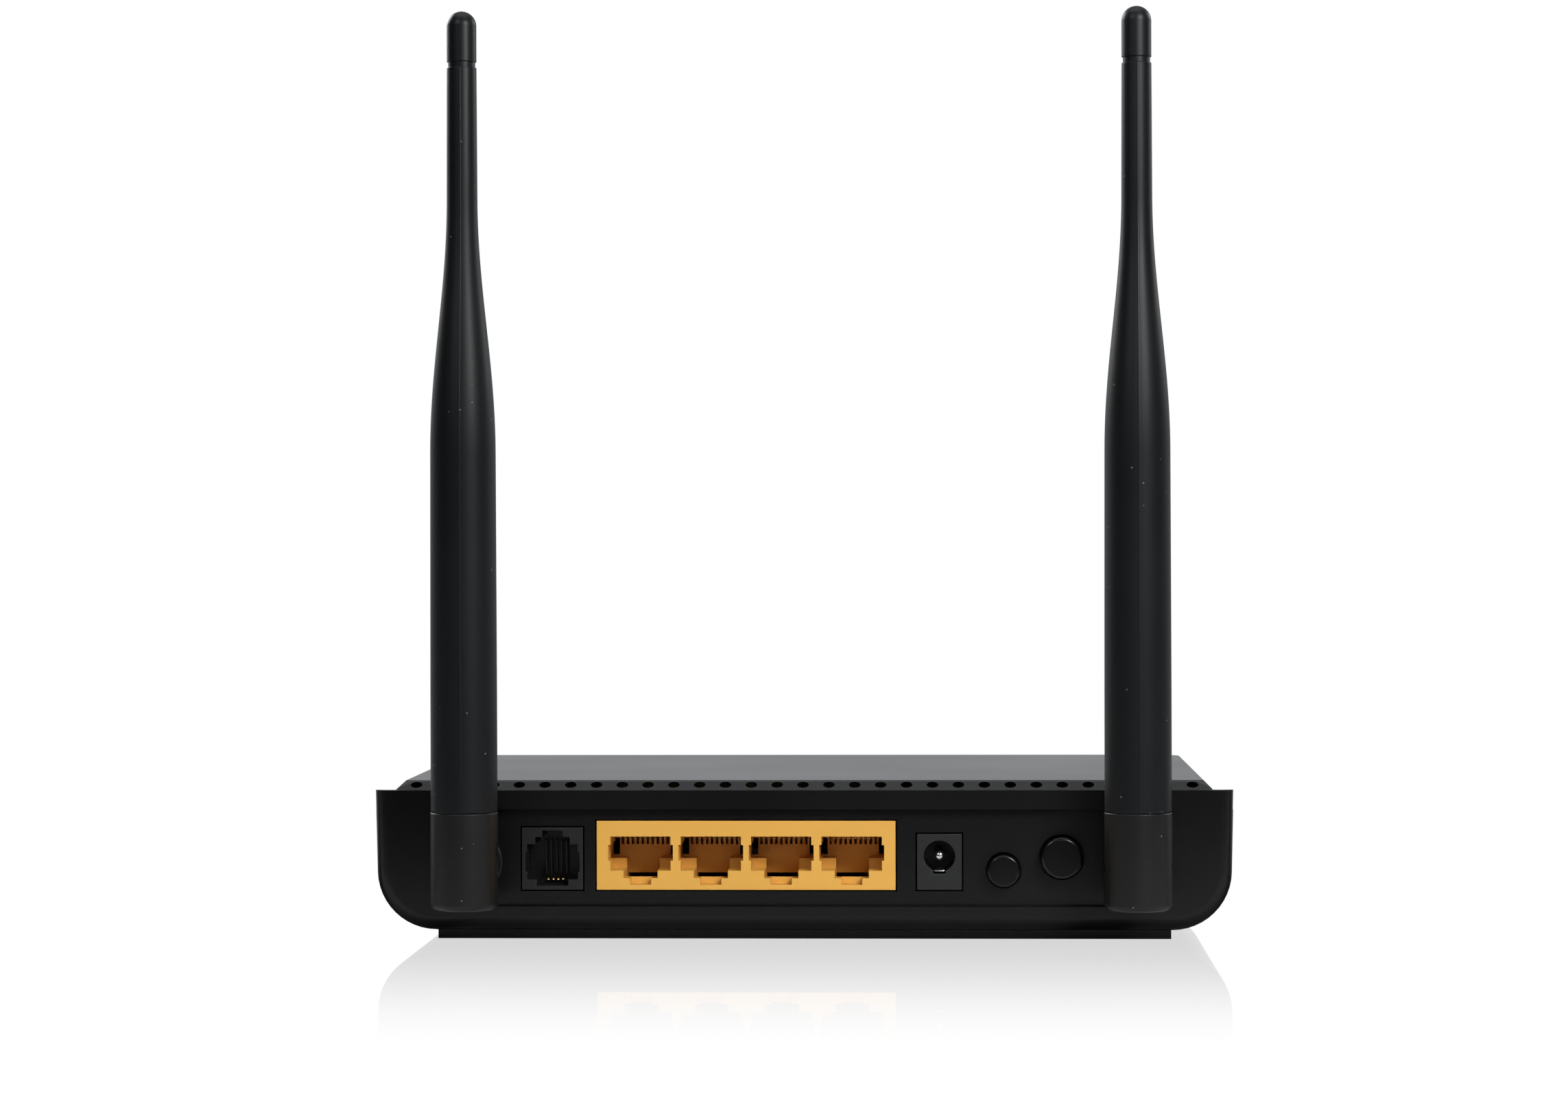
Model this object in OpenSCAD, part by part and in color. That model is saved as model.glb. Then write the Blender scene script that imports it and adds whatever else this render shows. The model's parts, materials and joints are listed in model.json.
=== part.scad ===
// Wireless router with two folding antennas.
// +Z is up and -Y is the side with the sockets. z = 0 is under the rubber feet, and the origin is
// the middle of the whole outline, antennas included.

/* [Body] */
// Width over the side walls at the rim
body_w = 170.6; // [155:0.5:215]
// Depth of the housing, rear wall to front wall
body_d = 102; // [95:0.5:130]
// Height of the flat top above the table
body_h = 31.8; // [30:0.1:42]
// Thickness of the housing walls
wall = 2; // [1.6:0.1:2.5]
// Radius of the long bottom edges
bottom_r = 11.5; // [8:0.5:13]
// Radius of the upright front corners
front_r = 11.5; // [6:0.5:20]
// How far each side leans in, from the rim down to the bottom radius
side_draft = 0.6; // [0:0.1:1]
// Width of the plinth under the body
plinth_w = 146; // [140:1:150]
// Height of the plinth
plinth_h = 1.9; // [1:0.1:3]

/* [Cover] */
// Gap between the cover and the walls around it
cover_gap = 0.3; // [0.2:0.05:0.5]
// Thickness of the cover plate
cover_t = 2; // [1.6:0.1:2.5]
// Rise of the sloping rim of the cover
slope_rise = 1.7; // [1:0.1:2.5]
// Run of the sloping rim at the rear and front
slope_run = 3; // [2:0.1:5]
// Width and height of the 45 degree shoulder along each side of the cover
slope_side = 3.5; // [2.5:0.1:4]
// Depth of the skirt below the rim
skirt_h = 3; // [2.6:0.1:3]
// Number of cooling holes in the rear slope
vent_count = 31; // [5:1:31]
// Distance between cooling holes
vent_pitch = 5.15; // [4:0.05:5.3]
// Diameter of a cooling hole
vent_d = 2.2; // [1:0.1:2.6]

/* [Socket panel] */
// Distance from the body's side to each end of the recess in the rear wall
recess_in = 12.8; // [9.3:0.1:13]
// Bottom of the recess
recess_low = 7; // [6:0.1:8]
// Top of the recess
recess_high = 26.3; // [25:0.1:27.5]
// Depth of the recess
recess_d = 2; // [1:0.1:3]
// Gap between a socket and the edge of its cutout
cutout_gap = 0.3; // [0.2:0.05:0.6]
// How far the sockets stand out of the panel
socket_proud = 0.3; // [0:0.1:1]

/* [Network sockets] */
// Centre of the block of four network sockets
lan_x = -11.3; // [-14:0.1:-8]
// Width of the block
lan_w = 59.4; // [57:0.1:62]
// Height of the block
lan_h = 13.7; // [13.2:0.1:14.5]
// Depth of the block
lan_l = 16; // [15:0.1:18]
// Distance between network sockets
lan_pitch = 14; // [13.6:0.1:15]
// Centre of the line socket
dsl_x = -49.85; // [-52:0.1:-48]
// Width of the line socket
dsl_w = 12.15; // [11.5:0.05:13]
// Height of the line socket
dsl_h = 12.4; // [12.2:0.1:13.5]
// Depth of the line socket
dsl_l = 13; // [12:0.1:15]

/* [Power socket] */
// Centre of the power socket
dc_x = 27.1; // [26:0.1:28]
// Width of the power socket
dc_w = 8.9; // [8:0.1:10]
// Height of the power socket
dc_h = 11.1; // [10:0.1:12]
// Depth of the power socket
dc_l = 14; // [12:0.1:15]
// Height of the plug hole above the board
dc_up = 6.7; // [5:0.1:7]
// Diameter of the plug hole
dc_hole = 6.2; // [5.5:0.1:6.4]
// Diameter of the centre pin
dc_pin = 2; // [1.3:0.1:2.5]

/* [Buttons] */
// Centre of the small button
wps_x = 39.8; // [39:0.1:40.5]
// Height of the small button above the board
wps_up = 3.9; // [3.6:0.1:5]
// Diameter of the small button
wps_d = 6.4; // [5:0.1:6.8]
// How far the small button stands out of the panel
wps_out = 3; // [2:0.1:4]
// Travel of the small button
wps_travel = 0.8; // [0.3:0.1:1]
// Centre of the power button
power_x = 51.3; // [51:0.1:52]
// Height of the power button above the board
power_up = 6.5; // [6:0.1:7.5]
// Diameter of the power button
power_d = 8.3; // [7:0.1:8.6]
// How far the power button stands out of the panel
power_out = 3.5; // [2.6:0.1:5]
// Travel of the power button
power_travel = 2.5; // [1:0.1:2.6]
// Gap between a button and the edge of its hole
button_gap = 0.4; // [0.3:0.05:0.8]

/* [Antennas] */
// Distance from the side of the body to an antenna's middle
antenna_inset = 19.5; // [18:0.1:20]
// Distance from the rear face to an antenna's middle
standoff = 12; // [11.5:0.1:15]
// Height of the swivel and hinge axes
hinge_z = 15.8; // [15:0.1:17]
// Diameter of an antenna at its foot
barrel_d = 13.2; // [12:0.1:14]
// Length of an antenna below its hinge
heel = 8.3; // [7.5:0.1:9]
// Height of the joint between base and sleeve above the hinge
seam_up = 10.8; // [9:0.1:14]
// Height of the antenna's top above the hinge
antenna_up = 167.4; // [150:0.5:210]
// Diameter of the whip just below the waist
whip_d = 12.8; // [11:0.1:13]
// Diameter of the thin upper part
tip_d = 6; // [5.4:0.1:8]
// Height above the hinge where the waist starts
waist_low = 80.7; // [70:0.5:90]
// Height above the hinge where the waist ends
waist_high = 131; // [120:0.5:135]
// Diameter of the collar on the panel
collar_d = 12.6; // [11:0.1:13]
// Thickness of the collar
collar_t = 2.2; // [1.5:0.1:2.5]
// Diameter of the swivel shaft
shaft_d = 8; // [6:0.1:9]
// Thickness of the hinge tongue
tongue_t = 5; // [3:0.1:5.4]
// Radius of the tongue's round end
tongue_r = 4; // [3:0.1:4.4]
// Diameter of the hinge pin
pin_d = 3; // [2:0.1:3.4]
// Radial running clearance of shafts and pins
running = 0.06; // [0.03:0.01:0.1]
// Gap between pieces that pass each other
pass_gap = 0.3; // [0.3:0.05:0.5]

/* [Board] */
// Height of the board's upper face
board_top = 10.2; // [9.8:0.1:11]
// Thickness of the board
board_t = 1.6; // [1:0.1:2]
// Width of the board
board_w = 120; // [118:1:122]
// Half the distance between board screws, left to right
board_screw_x = 56; // [54:0.5:57]
// Size of the processor
chip_w = 24; // [18:0.5:30]
// Size of the heat sink
sink_w = 34; // [28:0.5:38]
// Number of heat sink fins
fin_count = 9; // [5:1:11]
// Number of status lights
led_count = 9; // [5:1:10]
// Distance between status lights
led_pitch = 9; // [6:0.5:10]

/* [Fastening] */
// Diameter of a rubber foot
foot_d = 11.6; // [8:0.1:12]
// How far a foot stands out of the plinth
foot_out = 0.3; // [0.2:0.1:1]
// Distance between the wall-mount keyholes
key_span = 100; // [90:1:104]
// Diameter of a keyhole's entry
key_d = 8; // [7:0.1:9]
// Width of a keyhole's slot
key_slot = 4; // [3:0.1:5]
// Length of a keyhole's slot
key_run = 7; // [6:0.1:9]
// Diameter of a case screw
case_screw_d = 3; // [2.5:0.1:3.5]
// Distance from the body's side to a case screw
case_screw_in = 18.3; // [17:0.1:19]

/* [Hidden] */
$fn = 48;
eps = 0.01;
far = 500;

half_w = body_w / 2;
barrel_r = barrel_d / 2;
total_d = body_d + standoff + barrel_r;
y_rear = standoff + barrel_r - total_d / 2;
y_front = y_rear + body_d;
y_panel = y_rear + recess_d;
panel_t = wall;
y_inner = y_panel + panel_t;
y_face = y_panel - socket_proud;
z_rim = body_h - slope_rise;
z_plinth = foot_out;
z_body = z_plinth + plinth_h;
board_low = board_top - board_t;
y_board_end = y_front - wall - 4;

plinth_rear = y_rear + 4;
plinth_front = y_front - 12;
foot_pocket = 1;
foot_gap = 0.2;
foot_in = 8.5;
foot_x = plinth_w / 2 - foot_in - 0.5;
foot_ys = [plinth_rear + foot_in, plinth_front - foot_in];
case_screw_x = min(half_w - case_screw_in, plinth_w / 2 - wall - 4);
case_screw_ys = [plinth_rear + foot_in + 13.5, plinth_front - foot_in - 13.5];
case_screw_free = 0.2;
case_head_d = 5.6;
case_head_h = 2;
pillar_r = 3.6;
pillar_top = 15;
counterbore = 4;
board_screw_ys = [y_inner + 26, y_board_end - 12];
board_screw_d = 2.5;
board_screw_l = board_top - z_body - wall - pass_gap;
post_r = 3;
key_y = (plinth_rear + plinth_front) / 2;
label_w = 62;
label_d = 26;
label_t = 0.15;
label_pocket = 0.3;
slot_count = 9;
slot_pitch = 5;

antenna_x = half_w - antenna_inset;
recess_half = half_w - recess_in;
y_pin = y_rear - standoff;
seam_z = hinge_z + seam_up;
antenna_top = hinge_z + antenna_up;
antenna_low = hinge_z - heel;
coax_r = 0.9;
coax_hole = 1.1;
hub_step_r = collar_d / 2 - 1.2;
hub_step_t = 1;
shaft_in = 6;
clip_t = 0.8;
clip_at = y_inner + pass_gap;
groove_r = shaft_d / 2 - 0.5;
shaft_end = y_inner + shaft_in;

button_flange = 1;
y_board = y_inner + button_flange + wps_travel + 2 * pass_gap;
button_edge = 0.8;
wps_plunger_d = 3;
wps_plunger_in = 2;
wps_plunger_out = wps_travel + 4 * pass_gap;
wps_switch_y = y_inner + 5;
power_plunger_d = 4;
power_plunger_in = 4.5;
power_plunger_out = power_travel + 2 * pass_gap;
power_switch_y = y_inner + 7;
wps_z = board_top + wps_up;
power_z = board_top + power_up;
dc_z = board_top + dc_up;
dc_bore_l = 9.5;

led_window_w = led_pitch * (led_count - 1) + 12;
led_window_low = 17.5;
led_window_h = 4.5;
chip_y = y_inner + 54;
chip_h = 1.8;
pad_h = 0.8;
coax_socket_x = 46;
coax_socket_y = y_inner + 64;

black = "#1a1a1c";
satin = "#222528";
green = "#1d5a37";
gold = "#d9b25a";
steel = "#b9bcc0";
yellow = "#edbb5c";

// A round bar along +Y, starting at y
module bar_y(d, y, l) {
    translate([0, y, 0]) rotate([-90, 0, 0]) cylinder(d = d, h = l);
}

// A flat outline in X and Z, extruded along +Y from y
module slab_y(y, l) {
    translate([0, y + l, 0]) rotate([90, 0, 0]) linear_extrude(l) children();
}

// A block from one corner to the other
module block(low, high) {
    translate(low) cube(high - low);
}

// Body section in X and Z, with the walls moved in by inset
module body_section(inset) {
    top = half_w - inset;
    low = half_w - side_draft - inset;
    r = bottom_r - inset;
    z = z_body + inset;
    polygon([[-top, z_rim], [-low, z + r], [-low + r, z], [low - r, z], [low, z + r], [top, z_rim]]);
    for (s = [-1, 1]) translate([s * (low - r), z + r]) circle(r, $fn = 64);
}

// Body outline seen from above
module body_plan(inset, rear) {
    r = front_r - inset;
    x = half_w - inset;
    y = y_front - inset;
    polygon([[-x, rear], [x, rear], [x, y - r], [x - r, y], [r - x, y], [-x, y - r]]);
    for (s = [-1, 1]) translate([s * (x - r), y - r]) circle(r, $fn = 64);
}

// Body section in Y and Z, round at the front bottom edge
module body_side(inset, rear) {
    r = bottom_r - inset;
    z = z_body + inset;
    y = y_front - inset;
    polygon([[rear, z], [y - r, z], [y, z + r], [y, z_rim], [rear, z_rim]]);
    translate([y - r, z + r]) circle(r, $fn = 64);
}

module body_form(inset, rear) {
    intersection() {
        slab_y(rear, y_front - rear) body_section(inset);
        linear_extrude(z_rim) body_plan(inset, rear);
        rotate([90, 0, 90]) translate([0, 0, -half_w]) linear_extrude(body_w) body_side(inset, rear);
    }
}

// Network socket opening, latch side down, from its own centre line and board height
module lan_opening() {
    for (p = [[12, 3.8, 10.6], [12.9, 5.8, 8.9], [6.8, 2.3, 4], [4.2, 1, 3]])
        translate([-p[0] / 2, board_top + p[1]]) square([p[0], p[2] - p[1]]);
}

// Line socket opening, latch side up
module dsl_opening() {
    for (p = [[10.1, 2.05, 9.05], [6.9, 9, 10.5], [4.1, 10, 11.8], [6.3, 0.8, 2.5]])
        translate([-p[0] / 2, board_top + p[1]]) square([p[0], p[2] - p[1]]);
}

// Everything above the 45 degree shoulder of the sides, moved in by inset
module above_shoulder(inset) {
    x = half_w - wall - cover_gap - slope_side;
    z = body_h - sqrt(2) * inset;
    run = half_w + 1 - x;
    for (s = [-1, 1]) polygon([[s * x, z], [s * (x + run), z - run], [s * (x + run), far], [s * x, far]]);
}

module housing_shell() difference() {
    union() {
        difference() {
            body_form(0, y_rear);
            body_form(wall, y_rear + wall);
            // opening under the cover
            translate([0, 0, z_rim - skirt_h - cover_gap]) linear_extrude(far)
                body_plan(wall, y_rear + wall);
        }
        block([-plinth_w / 2, plinth_rear, z_plinth], [plinth_w / 2, plinth_front, z_body + wall]);
        block([-recess_half - wall, y_rear + eps, recess_low - wall],
              [recess_half + wall, y_inner, recess_high + 0.5]);
        for (x = [-1, 1] * case_screw_x, y = case_screw_ys)
            translate([x, y, z_plinth]) cylinder(r = pillar_r, h = pillar_top - z_plinth);
    }
    difference() {
        block([wall - plinth_w / 2, plinth_rear + wall, z_plinth + wall],
              [plinth_w / 2 - wall, plinth_front - wall, z_body + wall + eps]);
        for (x = [-1, 1] * case_screw_x, y = case_screw_ys)
            translate([x, y, 0]) cylinder(r = pillar_r, h = far);
        for (x = [-1, 1] * board_screw_x, y = board_screw_ys)
            translate([x, y, 0]) cylinder(r = post_r, h = far);
        for (x = [-1, 1] * foot_x, y = foot_ys)
            translate([x, y, 0]) cylinder(d = foot_d + 3, h = z_plinth + foot_pocket + wall);
    }
    block([-recess_half, y_rear - 1, recess_low], [recess_half, y_panel, recess_high]);
    // the side walls end on the shoulder, behind the rear wall
    slab_y(y_rear + wall, body_d) above_shoulder(0);
    // socket cutouts
    for (p = [[lan_x, lan_w, lan_h], [dsl_x, dsl_w, dsl_h], [dc_x, dc_w, dc_h]])
        block([p[0] - p[1] / 2 - cutout_gap, y_rear, board_top - cutout_gap],
              [p[0] + p[1] / 2 + cutout_gap, y_inner + eps, board_top + p[2] + cutout_gap]);
    translate([wps_x, 0, wps_z]) bar_y(wps_d + 2 * button_gap, y_rear, 2 * panel_t + recess_d);
    translate([power_x, 0, power_z]) bar_y(power_d + 2 * button_gap, y_rear, 2 * panel_t + recess_d);
    for (x = [-1, 1] * antenna_x)
        translate([x, 0, hinge_z]) bar_y(shaft_d + 2 * running, y_rear, 2 * panel_t + recess_d);
    // light window in the front wall
    block([-led_window_w / 2, y_front - wall - 1, led_window_low],
          [led_window_w / 2, y_front + 1, led_window_low + led_window_h]);
    // foot pockets, case screws and their counterbores
    for (x = [-1, 1] * foot_x, y = foot_ys)
        translate([x, y, 0]) cylinder(d = foot_d + 2 * foot_gap, h = z_plinth + foot_pocket);
    for (x = [-1, 1] * case_screw_x, y = case_screw_ys) translate([x, y, 0]) {
        cylinder(d = case_screw_d + 2 * case_screw_free, h = far);
        cylinder(d = case_head_d + 0.6, h = z_plinth + counterbore);
    }
    // wall-mount keyholes
    for (x = [-1, 1] * key_span / 2) translate([x, key_y, 0]) {
        cylinder(d = key_d, h = z_plinth + wall + 1);
        translate([0, key_run, 0]) cylinder(d = key_slot, h = z_plinth + wall + 1);
        translate([-key_slot / 2, 0, 0]) cube([key_slot, key_run, z_plinth + wall + 1]);
    }
    // label pocket and floor slots
    block([-label_w / 2, key_y - label_d / 2, 0],
          [label_w / 2, key_y + label_d / 2, z_plinth + label_pocket]);
    for (s = [-1, 1], i = [0:slot_count - 1])
        translate([(i - (slot_count - 1) / 2) * slot_pitch - 1, key_y + s * 27 - 8, 0]) cube([2, 16, 5]);
}

module board_posts()
    for (x = [-1, 1] * board_screw_x, y = board_screw_ys) translate([x, y, z_plinth + wall])
        difference() {
            cylinder(r = post_r, h = board_low - z_plinth - wall);
            translate([0, 0, 1]) cylinder(d = board_screw_d + 0.1, h = far);
        }

module lower_housing() color(black) {
    housing_shell();
    board_posts();
}

module cover_side() {
    a = y_rear + wall + cover_gap;
    b = y_front - wall - cover_gap;
    polygon([[a, 0], [b, 0], [b, z_rim], [b - slope_run, body_h], [a + slope_run, body_h], [a, z_rim]]);
}

module upper_cover() color(black) {
    inset = wall + cover_gap;
    skirt = inset + wall;
    low = z_rim - skirt_h;
    difference() {
        intersection() {
            translate([0, 0, low]) linear_extrude(far) body_plan(inset, y_rear + inset);
            rotate([90, 0, 90]) translate([0, 0, -half_w]) linear_extrude(body_w) cover_side();
        }
        difference() {
            linear_extrude(body_h - cover_t) body_plan(skirt, y_rear + skirt);
            slab_y(y_rear, body_d) above_shoulder(cover_t);
        }
        slab_y(y_rear, body_d) above_shoulder(0);
        for (i = [0:vent_count - 1])
            translate([(i - (vent_count - 1) / 2) * vent_pitch, y_rear + inset + slope_run / 2,
                       z_rim + slope_rise / 2])
                rotate([-115, 0, 0]) cylinder(d = vent_d, h = 9, center = true);
    }
    for (x = [-1, 1] * case_screw_x, y = case_screw_ys) translate([x, y, pillar_top + 0.1]) difference() {
        cylinder(r = pillar_r - 0.3, h = body_h - cover_t - pillar_top - 0.1);
        translate([0, 0, -1]) cylinder(d = case_screw_d + 0.1, h = 10);
    }
}

module rubber_feet() color("#2b2b2b")
    for (x = [-1, 1] * foot_x, y = foot_ys) translate([x, y, 0]) {
        cylinder(d1 = foot_d - 0.6, d2 = foot_d, h = foot_out);
        translate([0, 0, foot_out]) cylinder(d = foot_d, h = foot_pocket);
    }

module screw(d, head_d, head_h, l) {
    difference() {
        union() {
            cylinder(d = head_d, h = head_h);
            translate([0, 0, head_h - eps]) cylinder(d = d, h = l + eps);
        }
        for (a = [0, 90]) rotate(a) translate([-d / 2, -d / 10, -eps]) cube([d, d / 5, head_h * 0.6]);
    }
}

module case_screws() color(steel)
    for (x = [-1, 1] * case_screw_x, y = case_screw_ys)
        translate([x, y, z_plinth + counterbore - case_head_h])
            screw(case_screw_d, case_head_d, case_head_h, pillar_top + 8 - z_plinth - counterbore);

module board_screws() color(steel)
    for (x = [-1, 1] * board_screw_x, y = board_screw_ys)
        translate([x, y, board_top + 1.4]) rotate([180, 0, 0]) screw(board_screw_d, 4.6, 1.4, board_screw_l);

module rating_label() color("#d8d8d4")
    block([-label_w / 2 + 0.5, key_y - label_d / 2 + 0.5, z_plinth + label_pocket - label_t],
          [label_w / 2 - 0.5, key_y + label_d / 2 - 0.5, z_plinth + label_pocket]);

module main_board() color(green) difference() {
    block([-board_w / 2, y_board, board_low], [board_w / 2, y_board_end, board_top]);
    for (x = [-1, 1] * board_screw_x, y = board_screw_ys)
        translate([x, y, 0]) cylinder(d = board_screw_d + 0.4, h = far);
}

lan_xs = [for (i = [0:3]) lan_x + (i - 1.5) * lan_pitch];

module lan_jack_housing() color(yellow) difference() {
    block([lan_x - lan_w / 2, y_face, board_top], [lan_x + lan_w / 2, y_face + lan_l, board_top + lan_h]);
    for (x = lan_xs) translate([x, 0, 0]) {
        slab_y(y_face - 1, 14) lan_opening();
        // comb of slots that guide the contacts
        for (i = [0:7]) block([(i - 3.5) * 1.01 - 0.3, y_face + 1.2, board_top + 10.5],
                              [(i - 3.5) * 1.01 + 0.3, y_face + 13, board_top + 11.4]);
    }
}

module lan_jack_contacts() color(gold)
    for (x = lan_xs, i = [0:7]) translate([x + (i - 3.5) * 1.01 - 0.2, 0, board_top])
        rotate([90, 0, 90]) linear_extrude(0.4)
            polygon([[y_face + 2, 10.75], [y_face + 2.4, 11.1], [y_face + 13, 9.05], [y_face + 13, 8.7]]);

module dsl_jack_housing() color("#34353a") difference() {
    block([dsl_x - dsl_w / 2, y_face, board_top], [dsl_x + dsl_w / 2, y_face + dsl_l, board_top + dsl_h]);
    translate([dsl_x, 0, 0]) slab_y(y_face - 1, 11.5) dsl_opening();
}

module dsl_jack_contacts() color(gold)
    for (i = [0:3]) translate([dsl_x + (i - 1.5) * 1.02 - 0.2, 0, board_top])
        rotate([90, 0, 90]) linear_extrude(0.4)
            polygon([[y_face + 1.5, 1.3], [y_face + 1.5, 1.65], [y_face + 10.5, 3.6], [y_face + 10.5, 3.25]]);

module power_jack_body() color("#2d3034") difference() {
    block([dc_x - dc_w / 2, y_face, board_top], [dc_x + dc_w / 2, y_face + dc_l, board_top + dc_h]);
    translate([dc_x, 0, dc_z]) bar_y(dc_hole, y_face - 1, dc_bore_l + 1);
}

module power_jack_pin() color(steel) translate([dc_x, 0, dc_z]) {
    bar_y(dc_pin, y_face + 2, dc_bore_l - 2);
    translate([0, y_face + 2, 0]) sphere(d = dc_pin);
}

module power_jack_contact() color(steel) translate([dc_x, y_face, dc_z - dc_hole / 2])
    difference() {
        block([-1, 2.5, 0.3], [1, dc_bore_l, 0.6]);
        block([-0.4, 3.5, 0], [0.4, dc_bore_l - 2, 1]);
    }

module wps_switch_body() color("#2a2a2a") difference() {
    block([wps_x - 3.1, wps_switch_y, board_top], [wps_x + 3.1, wps_switch_y + 4.5, wps_z + 3.1]);
    translate([wps_x, 0, wps_z]) 
        bar_y(wps_plunger_d + 2 * running, wps_switch_y - eps, wps_plunger_in + wps_travel + pass_gap);
}

module power_switch_body() color("#e6e6e2") difference() {
    block([power_x - 4.2, power_switch_y, board_top], [power_x + 4.2, power_switch_y + 13, power_z + 4.2]);
    translate([power_x, 0, power_z]) bar_y(power_plunger_d + 2 * running, power_switch_y - eps,
                                           power_plunger_in + power_travel + pass_gap);
}

// A round button with a rounded edge, a flange that holds it behind the panel, and a stem
module button_cap(d, out, reach) {
    edge = button_edge;
    front = y_panel - out;
    flange = y_inner + pass_gap;
    translate([0, front, 0]) rotate([-90, 0, 0]) rotate_extrude($fn = 64) {
        square([d / 2 - edge, edge]);
        translate([0, edge]) square([d / 2, flange - front - edge]);
        intersection() {
            translate([d / 2 - edge, edge]) circle(edge, $fn = 32);
            square([d / 2, edge]);
        }
    }
    bar_y(d + 2, flange - eps, button_flange + eps);
    bar_y(d * 0.6, flange + button_flange - eps, reach - flange - button_flange + eps);
}

module wps_button_cap() color("#111112")
    translate([wps_x, 0, wps_z]) button_cap(wps_d, wps_out, wps_switch_y - wps_plunger_out);

module power_button_cap() color("#111112")
    translate([power_x, 0, power_z])
        button_cap(power_d, power_out, power_switch_y - power_plunger_out);

module wps_switch_plunger() color("#c9c9c4")
    translate([wps_x, 0, wps_z])
        bar_y(wps_plunger_d, wps_switch_y - wps_plunger_out, wps_plunger_out + wps_plunger_in);

module power_switch_plunger() color("#c9c9c4")
    translate([power_x, 0, power_z])
        bar_y(power_plunger_d, power_switch_y - power_plunger_out,
              power_plunger_out + power_plunger_in);

module on_board(x, y) {
    translate([x, y, board_top]) children();
}

module processor_chip() color("#222222")
    on_board(0, chip_y) translate([-chip_w / 2, -chip_w / 2, 0]) cube([chip_w, chip_w, chip_h]);

module thermal_pad() color("#9fb4c4")
    on_board(0, chip_y) translate([-chip_w / 2 + 1, -chip_w / 2 + 1, chip_h])
        cube([chip_w - 2, chip_w - 2, pad_h]);

module heat_sink() color("#a8abae")
    on_board(-sink_w / 2, chip_y - sink_w / 2) translate([0, 0, chip_h + pad_h]) {
    cube([sink_w, sink_w, 2.5]);
    for (i = [0:fin_count - 1])
        translate([i * (sink_w - 1.2) / (fin_count - 1), 0, 2.5 - eps]) cube([1.2, sink_w, 7]);
}

module memory_chips() color("#1e1e20")
    for (y = [-8, 8]) on_board(30, chip_y + y) translate([-9, -5.5, 0]) cube([18, 11, 1.2]);

module flash_chip() color("#1e1e20")
    on_board(-31, chip_y - 6) translate([-4, -3, 0]) cube([8, 6, 1.75]);

module wifi_shield_can() color(steel) on_board(-31, chip_y + 19) translate([-13, -9, 0]) difference() {
    cube([26, 18, 3]);
    translate([0.3, 0.3, -1]) cube([25.4, 17.4, 3.7]);
    for (i = [1:5], j = [1:3]) translate([i * 4.3, j * 4.5, 2]) cylinder(d = 1.4, h = 2);
}

module ethernet_transformers() color("#161617")
    for (x = [-15, 15]) on_board(lan_x + x, y_inner + 25) translate([-8, -6, 0]) cube([16, 12, 5.5]);

module dsl_line_transformer() color("#3a3226") on_board(-44, y_inner + 24) {
    translate([-6.5, -6.5, 0]) cube([13, 13, 3]);
    translate([-5, -5, 3]) cube([10, 10, 8]);
}

module electrolytic_capacitors() color("#2c3550")
    for (p = [[28, 24, 8, 12], [39, 27, 8, 12], [47, 37, 6.3, 9], [31, 35, 5, 8], [-30, 38, 6.3, 9]])
        on_board(p[0], y_inner + p[1]) cylinder(d = p[2], h = p[3]);

module power_inductors() color("#4a4a4a")
    for (p = [[40, 36], [22, 33]]) on_board(p[0], y_inner + p[1])
        translate([-3.2, -3.2, 0]) cube([6.4, 6.4, 4]);

// Small chip parts in rows around the processor
module small_components() color("#b58f62")
    for (i = [0:11], s = [-1, 1])
        on_board((i - 5.5) * 2.2 + s * 0.3, chip_y + s * (sink_w / 2 + 2.5))
            translate([-0.5, -0.9, 0]) cube([1, 1.8, 0.6]);

module crystal_oscillators() color(steel)
    for (p = [[-24, 6], [44, 0]]) on_board(p[0], chip_y + p[1])
        translate([-2.5, -1.6, 0]) cube([5, 3.2, 1.3]);

module coax_sockets() color(gold)
    for (x = [-1, 1] * coax_socket_x) on_board(x, coax_socket_y) {
        translate([-1.5, -1.5, 0]) cube([3, 3, 0.6]);
        cylinder(d = 2, h = 1.4);
    }

module coax_plug(s) color(steel) on_board(s * coax_socket_x, coax_socket_y) {
    difference() {
        translate([0, 0, 0.7]) cylinder(d = 3.2, h = 1.6);
        translate([0, 0, 0.5]) cylinder(d = 2.1, h = 1);
    }
}

// Route of an antenna lead on the right side: along the shaft, inside the side wall, to its socket
pigtail_points = [
    [antenna_x, shaft_end + 0.3, hinge_z],
    [antenna_x, shaft_end + 5, hinge_z],
    [antenna_x - 4, shaft_end + 11, hinge_z + 1],
    [antenna_x - 8, shaft_end + 20, hinge_z + 1],
    [antenna_x - 10, shaft_end + 32, hinge_z],
    [coax_socket_x + 7, coax_socket_y - 10, board_top + 4],
    [coax_socket_x + 3, coax_socket_y - 3, board_top + 3.4],
    [coax_socket_x, coax_socket_y, board_top + 2.6 + coax_r]];

function along(p, i) = let(a = p[max(i - 1, 0)], b = p[min(i + 1, len(p) - 1)], d = b - a) d / norm(d);

// Rings of eight points around a route
function ring(p, i, r) = let(t = along(p, i), u = cross(t, [0, 0, 1]), n = u / norm(u), m = cross(n, t))
    [for (k = [0:7]) p[i] + r * (cos(45 * k) * n + sin(45 * k) * m)];

module route(p, r) {
    n = len(p);
    points = [for (i = [0:n - 1]) each ring(p, i, r)];
    sides = [for (i = [0:n - 2], k = [0:7])
        [8 * i + k, 8 * i + (k + 1) % 8, 8 * i + 8 + (k + 1) % 8, 8 * i + 8 + k]];
    ends = [[for (k = [7:-1:0]) k], [for (k = [0:7]) 8 * (n - 1) + k]];
    polyhedron(points, concat(sides, ends), convexity = 4);
}

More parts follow.
